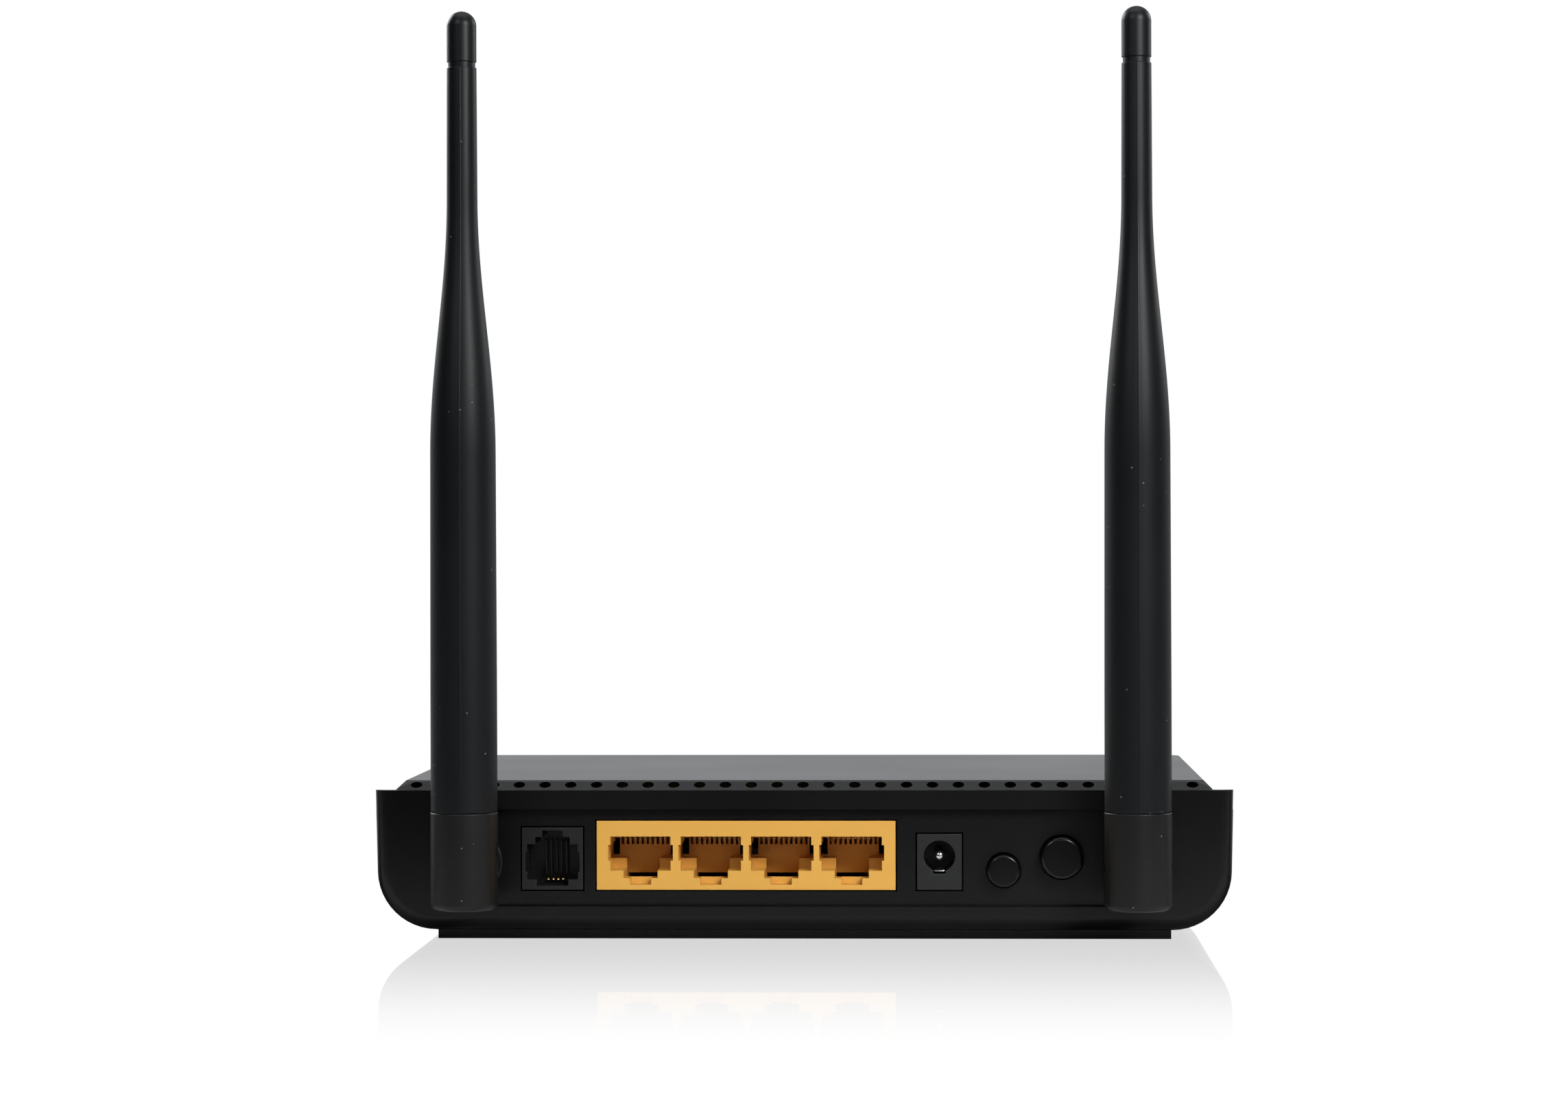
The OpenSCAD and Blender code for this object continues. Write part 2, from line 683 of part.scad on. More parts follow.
// A smooth curve through the points, with rings between them
function curve(p, steps) = [for (i = [0:len(p) - 2], k = [0:steps - 1])
    let(a = p[max(i - 1, 0)], b = p[i], c = p[i + 1], d = p[min(i + 2, len(p) - 1)], t = k / steps)
        0.5 * (2 * b + (c - a) * t + (2 * a - 5 * b + 4 * c - d) * t * t
               + (3 * b - a - 3 * c + d) * t * t * t)];

module pigtail() color("#3c3c3e") route(concat(curve(pigtail_points, 4), [pigtail_points[7]]), coax_r);

module status_leds() color("#e9efe6")
    for (i = [0:led_count - 1]) on_board((i - (led_count - 1) / 2) * led_pitch, y_board_end - 3)
        translate([-0.8, -0.4, 0]) cube([1.6, 0.8, 0.7]);

module light_guide() color("#dfe7ea") {
    for (i = [0:led_count - 1]) translate([(i - (led_count - 1) / 2) * led_pitch, 0, 0]) {
        block([-1.2, y_board_end - 4, board_top + 1], [1.2, y_board_end - 2, led_window_low + 3]);
        block([-1.2, y_board_end - 4, led_window_low + 1], [1.2, y_front - 1.2, led_window_low + 3]);
    }
    block([-led_pitch * (led_count - 1) / 2, y_board_end - 4, led_window_low + 1],
          [led_pitch * (led_count - 1) / 2, y_board_end - 2, led_window_low + 3]);
}

module led_window() color("#30343a")
    block([-led_window_w / 2 + 0.1, y_front - 1.2, led_window_low + 0.1],
          [led_window_w / 2 - 0.1, y_front - 0.1, led_window_low + led_window_h - 0.1]);

// The hub is at the hinge height, with its shaft along Y and the pin's hole along X
module swivel_hub() color(satin) difference() {
    union() {
        bar_y(collar_d, y_panel - pass_gap - collar_t, collar_t);
        bar_y(2 * hub_step_r, y_panel - pass_gap - collar_t - hub_step_t, hub_step_t + eps);
        bar_y(shaft_d, y_panel - pass_gap - eps, clip_at - y_panel + pass_gap + eps);
        bar_y(2 * groove_r, clip_at - eps, clip_t + 0.1 + 2 * eps);
        bar_y(shaft_d, clip_at + clip_t + 0.1, shaft_end - clip_at - clip_t - 0.1);
        translate([-tongue_t / 2, y_pin, -tongue_r])
            cube([tongue_t, y_panel - pass_gap - collar_t - y_pin, 2 * tongue_r]);
        translate([-tongue_t / 2, y_pin, 0]) rotate([0, 90, 0]) cylinder(r = tongue_r, h = tongue_t);
    }
    translate([-tongue_t, y_pin, 0]) rotate([0, 90, 0]) cylinder(d = pin_d + 2 * running, h = 2 * tongue_t);
    bar_y(2 * coax_hole, y_pin + pin_d / 2 + 1.2, far);
}

module hub_retainer() color(steel) difference() {
    bar_y(shaft_d + 2.6, clip_at + 0.05, clip_t);
    bar_y(2 * groove_r + 0.1, clip_at - 1, clip_t + 2);
    block([-1.5, clip_at - 1, -far], [1.5, clip_at + clip_t + 1, 0]);
}

hub_coax_y = y_pin + pin_d / 2 + 1.3;

module hub_coax() color("#3c3c3e") bar_y(2 * coax_r, hub_coax_y, shaft_end - hub_coax_y);

// Heights of the antenna pieces are above the hinge axis
module antenna_base() color(satin) difference() {
    edge = 1.5;
    plug_r = 4.7;
    translate([0, y_pin, 0]) rotate_extrude($fn = 96) {
        translate([0, -heel]) square([barrel_r - edge, edge]);
        translate([0, edge - heel]) square([barrel_r, heel + seam_up - edge]);
        intersection() {
            translate([barrel_r - edge, edge - heel]) circle(edge, $fn = 48);
            translate([0, -heel]) square([barrel_r, edge]);
        }
        translate([0, seam_up]) square([plug_r, 4]);
    }
    // slot for the tongue, open towards the panel and below
    slot = tongue_t + 2 * pass_gap;
    open_r = tongue_r + 0.4;
    translate([-slot / 2, y_pin, 0]) {
        rotate([0, 90, 0]) cylinder(r = open_r, h = slot);
        translate([0, -open_r, -far]) cube([slot, 2 * open_r, far]);
        translate([0, 0, -far]) cube([slot, far, far]);
        cube([slot, far, open_r]);
    }
    translate([-far / 2, y_pin, 0]) rotate([0, 90, 0]) cylinder(d = pin_d + 0.04, h = far);
    translate([0, y_pin, 0]) cylinder(r = coax_hole, h = far);
}

module hinge_pin() color(steel)
    translate([-barrel_r + 0.7, y_pin, 0]) rotate([0, 90, 0]) cylinder(d = pin_d, h = barrel_d - 1.4);

waist_steps = 14;
whip_top = antenna_up - 11;
bulb_up = antenna_up - 3 - tip_d / 2 * 0.97;

function waist_r(t) = whip_d / 2 + (tip_d - whip_d) / 2 * (1 - cos(180 * t)) / 2;

module antenna_sleeve() color(satin) translate([0, y_pin, 0]) difference() {
    rotate_extrude($fn = 96) polygon(concat(
        [[0, seam_up], [barrel_r - 0.3, seam_up], [barrel_r, seam_up + 0.4]],
        [for (i = [0:waist_steps]) let(t = i / waist_steps)
            [waist_r(t), waist_low + (waist_high - waist_low) * t]],
        [[tip_d / 2 - 0.1, whip_top], [0, whip_top]]));
    translate([0, 0, seam_up - eps]) cylinder(r = 4.75, h = 32);
    translate([0, 0, seam_up]) cylinder(r = 2.6, h = waist_low - seam_up);
    translate([0, 0, seam_up]) cylinder(r = 1.6, h = far);
}

module antenna_cap() color(satin) translate([0, y_pin, 0]) {
    r = tip_d / 2 - 0.1;
    translate([0, 0, whip_top - 5]) cylinder(r = 1.55, h = 5 + eps);
    translate([0, 0, whip_top]) cylinder(r = r - 0.25, h = 1.1);
    translate([0, 0, whip_top + 1.1 - eps]) cylinder(r = r, h = antenna_up - r - whip_top - 1.1 + eps);
    translate([0, 0, antenna_up - r]) sphere(r = r, $fn = 64);
}

module antenna_radiator() color(gold) translate([0, y_pin, 0]) {
    difference() {
        translate([0, 0, seam_up + 32]) cylinder(d = 5, h = 22);
        translate([0, 0, seam_up + 33]) cylinder(d = 4.2, h = far);
    }
    translate([0, 0, seam_up + 33 - eps]) cylinder(d = 1.6, h = whip_top - 6 - seam_up - 33);
}

module antenna_coax() color("#3c3c3e")
    translate([0, y_pin, tongue_r + 1.4]) cylinder(r = coax_r, h = seam_up + 32 - tongue_r - 1.4);

module at_antenna(s) {
    translate([s * antenna_x, 0, hinge_z]) children();
}

lower_housing();
upper_cover();
rubber_feet();
case_screws();
rating_label();
main_board();
board_screws();
lan_jack_housing();
lan_jack_contacts();
dsl_jack_housing();
dsl_jack_contacts();
power_jack_body();
power_jack_pin();
power_jack_contact();
wps_switch_body();
power_switch_body();
processor_chip();
thermal_pad();
heat_sink();
memory_chips();
flash_chip();
wifi_shield_can();
ethernet_transformers();
dsl_line_transformer();
electrolytic_capacitors();
power_inductors();
small_components();
crystal_oscillators();
coax_sockets();
coax_plug(-1);  // left_coax_plug
coax_plug(1);  // right_coax_plug
mirror([1, 0, 0]) pigtail();  // left_pigtail
pigtail();  // right_pigtail
status_leds();
light_guide();
led_window();
wps_button_cap();
wps_switch_plunger();
power_button_cap();
power_switch_plunger();
at_antenna(-1) swivel_hub();  // left_swivel_hub
at_antenna(-1) hub_retainer();  // left_hub_retainer
at_antenna(-1) hub_coax();  // left_hub_coax
at_antenna(-1) antenna_base();  // left_antenna_base
at_antenna(-1) hinge_pin();  // left_hinge_pin
at_antenna(-1) antenna_sleeve();  // left_antenna_sleeve
at_antenna(-1) antenna_cap();  // left_antenna_cap
at_antenna(-1) antenna_radiator();  // left_antenna_radiator
at_antenna(-1) antenna_coax();  // left_antenna_coax
at_antenna(1) swivel_hub();  // right_swivel_hub
at_antenna(1) hub_retainer();  // right_hub_retainer
at_antenna(1) hub_coax();  // right_hub_coax
at_antenna(1) antenna_base();  // right_antenna_base
at_antenna(1) hinge_pin();  // right_hinge_pin
at_antenna(1) antenna_sleeve();  // right_antenna_sleeve
at_antenna(1) antenna_cap();  // right_antenna_cap
at_antenna(1) antenna_radiator();  // right_antenna_radiator
at_antenna(1) antenna_coax();  // right_antenna_coax
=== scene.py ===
# %% [markdown]
# # Wireless router with two folding antennas
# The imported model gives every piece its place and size. This script keeps that frame, rebuilds
# the pieces that show with rounded edges and moulded detail, and gives each one its own finish.
# Everything is in metres, +Z is up, and the sockets face -Y.

# %% Load the frame
import json
import math

import bpy
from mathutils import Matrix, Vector


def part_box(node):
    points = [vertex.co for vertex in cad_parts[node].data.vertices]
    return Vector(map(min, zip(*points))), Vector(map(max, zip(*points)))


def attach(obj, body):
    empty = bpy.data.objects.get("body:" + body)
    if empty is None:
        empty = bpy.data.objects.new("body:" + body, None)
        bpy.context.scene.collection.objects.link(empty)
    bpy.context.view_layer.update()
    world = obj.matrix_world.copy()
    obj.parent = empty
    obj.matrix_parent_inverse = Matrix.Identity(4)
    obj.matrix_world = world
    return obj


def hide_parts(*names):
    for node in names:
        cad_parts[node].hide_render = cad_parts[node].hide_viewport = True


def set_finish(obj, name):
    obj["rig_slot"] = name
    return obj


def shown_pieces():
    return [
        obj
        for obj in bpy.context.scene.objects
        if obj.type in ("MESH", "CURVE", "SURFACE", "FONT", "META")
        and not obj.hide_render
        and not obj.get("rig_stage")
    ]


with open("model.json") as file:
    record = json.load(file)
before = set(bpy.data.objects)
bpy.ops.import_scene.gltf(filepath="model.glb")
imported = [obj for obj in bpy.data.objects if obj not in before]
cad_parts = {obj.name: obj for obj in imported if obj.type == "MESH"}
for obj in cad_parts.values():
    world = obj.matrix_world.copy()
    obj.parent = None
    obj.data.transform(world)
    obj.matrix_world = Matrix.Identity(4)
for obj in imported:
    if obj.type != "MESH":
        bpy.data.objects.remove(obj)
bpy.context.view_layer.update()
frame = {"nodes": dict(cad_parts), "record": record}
scene = bpy.context.scene
MM = 0.001

# %% [markdown]
# ## Where things are
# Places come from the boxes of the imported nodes. Only what a box can't say, such as the depth of
# the recess behind the rear face, is written here as a size of its own.

# %% Places that several pieces share
tray_low, tray_high = (Vector(c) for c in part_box("lower_housing"))
lid_low, lid_high = (Vector(c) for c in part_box("upper_cover"))
half_w = tray_high.x
y_rear, y_front = tray_low.y, tray_high.y
z_plinth, z_rim = tray_low.z, tray_high.z
z_lid = lid_high.z
WALL = 2 * MM
RECESS = 2 * MM
GAP = 0.3 * MM
LEDGE = WALL + GAP
SHOULDER = 3.5 * MM
plate_x = half_w - LEDGE - SHOULDER
y_panel = y_rear + RECESS
y_inner = y_panel + WALL
board_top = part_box("main_board")[1][2]
y_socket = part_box("lan_jack_housing")[0][1]
print(f"tray {2000 * half_w:.1f} mm wide, rim at {1000 * z_rim:.1f} mm, lid at {1000 * z_lid:.1f} mm")

# %% [markdown]
# ## Camera, table and light
# The camera stands 0.8 m from the socket side, a little right of the middle and 5 cm above the
# lid, so the top is seen at a grazing angle. It is turned 2.4 degrees to the left, almost level,
# and a long lens keeps the two antennas parallel.

# %% Camera
CAMERA_BACK, CAMERA_RIGHT, CAMERA_UP = 0.7973, 0.030, 0.081
PITCH, ROLL, YAW = 90 - 0.337, 0.166, 2.404
camera_data = bpy.data.cameras.new("camera")
camera_data.sensor_width = 36
camera_data.lens = 92.52
camera_data.clip_start = 0.01
camera = bpy.data.objects.new("camera", camera_data)
camera.location = (CAMERA_RIGHT, y_rear - CAMERA_BACK, CAMERA_UP)
camera.rotation_euler = [math.radians(a) for a in (PITCH, ROLL, YAW)]
scene.collection.objects.link(camera)
scene.camera = camera
scene.view_settings.view_transform = "Standard"
print("camera", [round(v, 3) for v in camera.location])

# %% [markdown]
# Black plastic shows mostly what it reflects. So the room is dim in front and bright behind the
# object, where the top mirrors it at a low angle, and a few lamps of limited size give the
# highlights. The camera, and its mirror image in the table, see plain white. Three small helpers
# build the node trees of the room and the table.

# %% Node helpers
def ramp(tree, source, start, end, low, high, smooth=False):
    """Turns a value from start...end into low...high, and holds it beyond both ends."""
    node = tree.nodes.new("ShaderNodeMapRange")
    if smooth:
        node.interpolation_type = "SMOOTHSTEP"
    for label, value in zip(("From Min", "From Max", "To Min", "To Max"), (start, end, low, high)):
        node.inputs[label].default_value = value
    tree.links.new(source, node.inputs["Value"])
    return node.outputs[0]


def calc(tree, how, *sources):
    """One math node whose inputs are all linked."""
    node = tree.nodes.new("ShaderNodeMath")
    node.operation = how
    for i, source in enumerate(sources):
        tree.links.new(source, node.inputs[i])
    return node.outputs[0]


def mixed(tree, share, first, second):
    """Two shaders, mixed by a share that is 0 for the first and 1 for the second."""
    node = tree.nodes.new("ShaderNodeMixShader")
    for i, source in enumerate((share, first, second)):
        tree.links.new(source, node.inputs[i])
    return node.outputs[0]


def split_coordinates(tree, kind):
    """The X, Y and Z outputs of one kind of texture coordinate."""
    coord = tree.nodes.new("ShaderNodeTexCoord")
    split = tree.nodes.new("ShaderNodeSeparateXYZ")
    tree.links.new(coord.outputs[kind], split.inputs[0])
    return split.outputs


# %% Light from all round
world = bpy.data.worlds.new("studio")
scene.world = world
world.use_nodes = True
sky = world.node_tree
sky.nodes.clear()
way = split_coordinates(sky, "Generated")
behind = ramp(sky, way["Y"], -0.1, 0.8, 0.02, 0.56, smooth=True)
above = ramp(sky, way["Z"], 0.3, 0.85, 0.0, 0.03, smooth=True)
room = sky.nodes.new("ShaderNodeBackground")
room.inputs["Color"].default_value = (0.95, 0.98, 1.0, 1)
sky.links.new(calc(sky, "ADD", behind, above), room.inputs["Strength"])
backdrop = sky.nodes.new("ShaderNodeBackground")
backdrop.inputs["Color"].default_value = (1, 1, 1, 1)
sky_path = sky.nodes.new("ShaderNodeLightPath")
seen = calc(sky, "MAXIMUM", sky_path.outputs["Is Camera Ray"], sky_path.outputs["Is Singular Ray"])
sky_out = sky.nodes.new("ShaderNodeOutputWorld")
sky.links.new(mixed(sky, seen, room.outputs[0], backdrop.outputs[0]), sky_out.inputs["Surface"])
print("room:", len(sky.nodes), "nodes")


# %% Soft lamps
def softbox(name, place, aim, width, height, power):
    """A rectangular lamp at a place, turned towards its aim."""
    data = bpy.data.lights.new(name, "AREA")
    data.shape = "RECTANGLE"
    data.size = width
    data.size_y = height
    data.energy = power
    lamp = bpy.data.objects.new(name, data)
    lamp.location = place
    lamp.rotation_euler = (Vector(aim) - Vector(place)).to_track_quat("-Z", "Y").to_euler()
    scene.collection.objects.link(lamp)


softbox("overhead", (0.0, -0.05, 1.4), (0, 0, 0), 1.2, 0.8, 6)
softbox("front_left", (-0.42, -0.75, 0.62), (0, 0, 0.05), 0.22, 0.22, 2.0)
softbox("front_right", (0.30, -0.48, 0.36), (0.02, 0, 0.06), 0.2, 0.2, 3.4)
softbox("far_left", (-0.75, 0.75, 0.6), (0, 0, 0.02), 0.5, 0.5, 7)
softbox("far_right", (0.8, 0.55, 0.5), (0, 0, 0.02), 0.4, 0.4, 2.5)
softbox("front_high", (0.22, -1.15, 0.34), (0, 0, 0.08), 0.5, 0.12, 0.6)
print("lamps:", len(bpy.data.lights))

# %% [markdown]
# The table is white to the camera and holds a faint mirror image of the object, which fades out
# in front of it and behind it. To every other ray it is grey with painted light and shade: a
# painted pool of light in front of the object, a painted shadow under it, a painted bright strip
# behind it, and dark far in front of it. So it doesn't fill the black faces with white, but still
# puts a soft painted light under the rounded edges.

# %% Table
MIRROR = 0.33
bpy.ops.mesh.primitive_plane_add(size=12, location=(0, 0, 0))
table = bpy.context.object
table.name = "table"
table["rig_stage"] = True
table_finish = bpy.data.materials.new("table_white")
table_finish.use_nodes = True
top = table_finish.node_tree
top.nodes.clear()
along = split_coordinates(top, "Object")["Y"]
white = top.nodes.new("ShaderNodeEmission")
mirror = top.nodes.new("ShaderNodeBsdfGlossy")
mirror.inputs["Roughness"].default_value = 0
mirror.inputs["Color"].default_value = (1, 1, 1, 1)
image = calc(top, "MULTIPLY",
             ramp(top, along, y_rear - 0.17, y_rear + 0.01, 0.0, MIRROR, smooth=True),
             ramp(top, along, y_front - 0.01, y_front + 0.12, 1.0, 0.0))
to_camera = mixed(top, image, white.outputs[0], mirror.outputs[0])
# Painted light and painted shadow on the table, for every ray but the camera's: a pool of light in front, a
# shadow under the object, a bright strip behind it.
painted_light_front = ramp(top, along, y_rear - 0.14, y_rear - 0.05, 0.02, 0.75)
painted_shadow_under = ramp(top, along, y_rear - 0.012, y_rear + 0.008, 1.0, 0.05)
painted_light_behind = ramp(top, along, y_front - 0.01, y_front + 0.02, 0.0, 0.5)
painted_light_table = top.nodes.new("ShaderNodeBsdfDiffuse")
top.links.new(calc(top, "ADD", calc(top, "MULTIPLY", painted_light_front, painted_shadow_under), painted_light_behind), painted_light_table.inputs["Color"])
table_path = top.nodes.new("ShaderNodeLightPath")
table_out = top.nodes.new("ShaderNodeOutputMaterial")
top.links.new(mixed(top, table_path.outputs["Is Camera Ray"], painted_light_table.outputs[0], to_camera),
              table_out.inputs["Surface"])
table.data.materials.append(table_finish)
print("table:", len(top.nodes), "nodes")

# %% [markdown]
# ## Modelling helpers
# Each piece starts as a box, drum or ring at its real size, is shaped in edit mode, is cut with a
# Boolean, and is finished with a small Bevel, because an edge with no radius never catches light.

# %% Starting shapes
def alone(obj):
    """Selects one object and nothing else."""
    bpy.ops.object.select_all(action="DESELECT")
    obj.select_set(True)
    bpy.context.view_layer.objects.active = obj
    return obj


def settle(obj, name):
    """Puts the place, turn and size of a new primitive into its mesh."""
    obj.name = name
    alone(obj)
    bpy.ops.object.transform_apply(location=True, rotation=True, scale=True)
    return obj


def box(name, low, high):
    """A box from its lowest corner to its highest."""
    low, high = Vector(low), Vector(high)
    bpy.ops.mesh.primitive_cube_add(size=1, location=(low + high) / 2, scale=high - low)
    return settle(bpy.context.object, name)


TURN = {"x": (0, math.pi / 2, 0), "y": (math.pi / 2, 0, 0), "z": (0, 0, 0)}


def drum(name, start, radius, length, axis="y", sides=64):
    """A cylinder from start, along +X, +Y or +Z."""
    way = Vector([float(axis == a) for a in "xyz"])
    middle = Vector(start) + way * length / 2
    bpy.ops.mesh.primitive_cylinder_add(
        vertices=sides, radius=radius, depth=length, location=middle, rotation=TURN[axis])
    return settle(bpy.context.object, name)


def copy_of(obj, name, offset=(0, 0, 0)):
    """A copy with its own mesh, moved by offset."""
    new = obj.copy()
    new.data = obj.data.copy()
    new.name = name
    scene.collection.objects.link(new)
    new.location = offset
    return settle(new, name)


def merged(name, objs):
    """Joins several objects into one mesh."""
    alone(objs[0])
    for o in objs:
        o.select_set(True)
    if len(objs) > 1:
        bpy.ops.object.join()
    objs[0].name = name
    return objs[0]


# %% Selecting by place, and the edit-mode steps
def pick(obj, kind, test):
    """Selects the edges or faces whose corners pass the test, and goes into edit mode."""
    alone(obj)
    mesh = obj.data
    for parts in (mesh.vertices, mesh.edges, mesh.polygons):
        parts.foreach_set("select", [False] * len(parts))
    found = 0
    for item in mesh.edges if kind == "EDGE" else mesh.polygons:
        if test([mesh.vertices[i].co for i in item.vertices]):
            item.select = True
            found += 1
            for i in item.vertices:
                mesh.vertices[i].select = True
    bpy.ops.object.mode_set(mode="EDIT")
    bpy.ops.mesh.select_mode(type=kind)
    return found


def done():
    bpy.ops.object.mode_set(mode="OBJECT")


def round_edges(obj, test, radius, segments):
    """Bevels the edges whose two ends pass the test."""
    found = pick(obj, "EDGE", test)
    bpy.ops.mesh.bevel(offset=radius, segments=segments, profile=0.5, affect="EDGES",
                       clamp_overlap=False)
    done()
    return found


def same(values, tol=1e-5):
    return max(values) - min(values) < tol


# %% Modifiers that are applied at once
SMOOTH = math.radians(32)


def combine(obj, other, how="DIFFERENCE"):
    """Cuts other out of obj, or adds it, and removes it."""
    step = obj.modifiers.new(how.lower(), "BOOLEAN")
    step.operation = how
    step.solver = "EXACT"
    step.use_self = how == "DIFFERENCE"
    step.object = other
    alone(obj)
    bpy.ops.object.modifier_apply(modifier=step.name)
    bpy.data.objects.remove(other)
    return obj


def soften(obj, width, segments=2, angle=35):
    """A small round on every edge that is sharper than the angle."""
    step = obj.modifiers.new("soften", "BEVEL")
    step.width = width
    step.segments = segments
    step.limit_method = "ANGLE"
    step.angle_limit = math.radians(angle)
    step.miter_outer = "MITER_ARC"
    step.use_clamp_overlap = True
    alone(obj)
    bpy.ops.object.modifier_apply(modifier=step.name)
    bpy.ops.object.shade_smooth_by_angle(angle=SMOOTH)
    return obj


def finished(obj, body, slot, *nodes):
    """Merges doubles, evens the shading of flat faces, and hands the piece to its body."""
    alone(obj)
    bpy.ops.object.mode_set(mode="EDIT")
    bpy.ops.mesh.select_all(action="SELECT")
    bpy.ops.mesh.remove_doubles(threshold=1e-6)
    bpy.ops.mesh.dissolve_degenerate(threshold=1e-6)
    done()
    even = obj.modifiers.new("even_shading", "WEIGHTED_NORMAL")
    even.keep_sharp = True
    even.weight = 60
    bpy.ops.object.modifier_apply(modifier=even.name)
    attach(obj, body)
    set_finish(obj, slot)
    if nodes:
        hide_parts(*nodes)
    print(f"{obj.name}: {len(obj.data.polygons)} faces on {body}")
    return obj


# %% [markdown]
# ## Lower housing
# The tray is one moulding: a box whose long bottom edges and front corners share one large
# radius. The rear outline gets a smaller round of its own, which is the pale band that runs
# down the sides and along the bottom of the rear face.

# %% Outer form of the tray
BOTTOM_R = 11.5 * MM
RIM_ROUND = 2.8 * MM
DRAFT = 0.6 * MM
z_floor = z_plinth + 1.9 * MM


def tray_form(name, inset, top, rear):
    """The rounded box of the tray, moved in by inset, its sides leaning in towards the floor."""
    low = Vector((inset - half_w, rear, z_floor + inset))
    high = Vector((half_w - inset, y_front - inset, top))
    form = box(name, low, high)
    pick(form, "FACE", lambda c: same([p.z for p in c]) and c[0].z < top - MM)
    lean = 1 - DRAFT / half_w * (top - z_floor) / (z_rim - z_floor)
    bpy.ops.transform.resize(value=(lean, 1, 1), center_override=(0, 0, 0))
    done()
    radius = BOTTOM_R - inset

    def large(c):
        at_rear = all(abs(p.y - rear) < 1e-5 for p in c)
        at_front = all(abs(p.y - high.y) < 1e-5 for p in c)
        low_edge = all(p.z < low.z + 1e-5 for p in c)
        return not at_rear and (low_edge or (at_front and not same([p.z for p in c])))

    round_edges(form, large, radius, 12)
    return form


def shoulders(name, drop=0.0):
    """Two wedges that lie on the 45 degree shoulders of the sides, lowered by drop."""
    wedges = []
    for s in (-1, 1):
        xs = sorted((s * plate_x, s * (half_w + MM)))
        wedge = box(name, (xs[0], y_rear + WALL, z_lid - drop),
                    (xs[1], y_front + MM, z_lid + 3 * MM))
        pick(wedge, "EDGE",
             lambda c: all(abs(p.x) > half_w and p.z < z_lid - drop + 1e-6 for p in c))
        bpy.ops.transform.translate(value=(0, 0, plate_x - half_w - MM))
        done()
        wedges.append(wedge)
    return merged(name, wedges)


def rear_outline(c):
    return all(abs(p.y - y_rear) < 1e-5 for p in c) and not all(p.z > z_rim - 1e-5 for p in c)


# %% Tray with its hollow and shoulders
tray = tray_form("tray", 0, z_rim, y_rear)
rim_edges = round_edges(tray, rear_outline, RIM_ROUND, 6)
combine(tray, tray_form("tray_hollow", WALL, z_rim + 6 * MM, y_rear + WALL))
combine(tray, shoulders("shoulder_cut"))
print("rear outline edges rounded:", rim_edges)

# %% [markdown]
# The plinth is a narrower box under the floor, hollow inside. The recess in the rear wall is
# backed by its own panel, and its top lip is rounded over, so it catches a soft band of light.

# %% Plinth and recess panel
PLINTH_HALF = 73 * MM
plinth_rear, plinth_front = y_rear + 4 * MM, y_front - 12 * MM
RECESS_HALF = 72.5 * MM
RECESS_LOW, RECESS_HIGH = 7 * MM, 26.3 * MM
LIP = 1.5 * MM
plinth = box("plinth", (-PLINTH_HALF, plinth_rear, z_plinth),
             (PLINTH_HALF, plinth_front, z_floor + WALL))
combine(tray, plinth, "UNION")
combine(tray, box("plinth_hollow", (WALL - PLINTH_HALF, plinth_rear + WALL, z_plinth + WALL),
                  (PLINTH_HALF - WALL, plinth_front - WALL, z_floor + WALL + MM)))
backing = box("backing", (-RECESS_HALF - WALL, y_rear + MM, RECESS_LOW - WALL),
              (RECESS_HALF + WALL, y_inner, RECESS_HIGH + 0.5 * MM))

# %% Pillars for the case screws, posts for the board
PILLAR_R, POST_R = 3.6 * MM, 3 * MM
PILLAR_TOP = 15 * MM
SCREW_IN = 22 * MM
board_low = board_top - 1.6 * MM
y_board_end = y_front - 6 * MM
case_screws = [(x, y) for x in (-0.067, 0.067)
               for y in (plinth_rear + SCREW_IN, plinth_front - SCREW_IN)]
board_screws = [(x, y) for x in (-0.056, 0.056) for y in (y_inner + 26 * MM, y_board_end - 12 * MM)]
root = z_plinth + MM
inner = [backing]
inner += [drum("pillar", (x, y, root), PILLAR_R, PILLAR_TOP - root, "z", 32) for x, y in case_screws]
inner += [drum("post", (x, y, root), POST_R, board_low - root, "z", 32) for x, y in board_screws]
combine(tray, merged("inner_parts", inner), "UNION")
print(len(inner), "inner parts joined to the tray")

# %% [markdown]
# Every hole of the tray is one cutter. They don't touch each other, so they are joined first and
# cut in one step.

# %% Recess with its rounded lip
combine(tray, box("recess", (-RECESS_HALF, y_rear - MM, RECESS_LOW), (RECESS_HALF, y_panel, RECESS_HIGH)))


def upper_corner(c):
    return all(abs(p.x) > half_w - 0.2 * MM and p.z > z_rim - 1e-5 and p.y < y_panel + 1e-5 for p in c)


lip_edges = round_edges(
    tray, lambda c: all(abs(p.y - y_rear) < 1e-5 and abs(p.z - RECESS_HIGH) < 1e-5 for p in c), LIP, 6)
corner_edges = round_edges(tray, upper_corner, MM, 5)
print("lip edges:", lip_edges, "upper corner edges:", corner_edges)

# %% Holes for the sockets and buttons
BUTTON_GAP = 0.4 * MM
FLANGE = MM
through = y_inner - y_panel + 4 * MM
cutters = []
for node in ("lan_jack_housing", "dsl_jack_housing", "power_jack_body"):
    low, high = (Vector(c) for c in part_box(node))
    cutters.append(box("cut", (low.x - GAP, y_panel - MM, low.z - GAP),
                       (high.x + GAP, y_inner + MM, high.z + GAP)))
for node in ("wps_button_cap", "power_button_cap"):
    low, high = (Vector(c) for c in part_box(node))
    centre, radius = (low + high) / 2, (high.x - low.x) / 2 - FLANGE
    cutters.append(drum("cut", (centre.x, y_panel - MM, centre.z), radius + BUTTON_GAP, through))

# %% Holes for the antenna hubs and the light window
SHAFT_R = 4 * MM


def middle(node, axis):
    """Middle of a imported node's box, along axis 0, 1 or 2."""
    return sum(corner[axis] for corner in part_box(node)) / 2


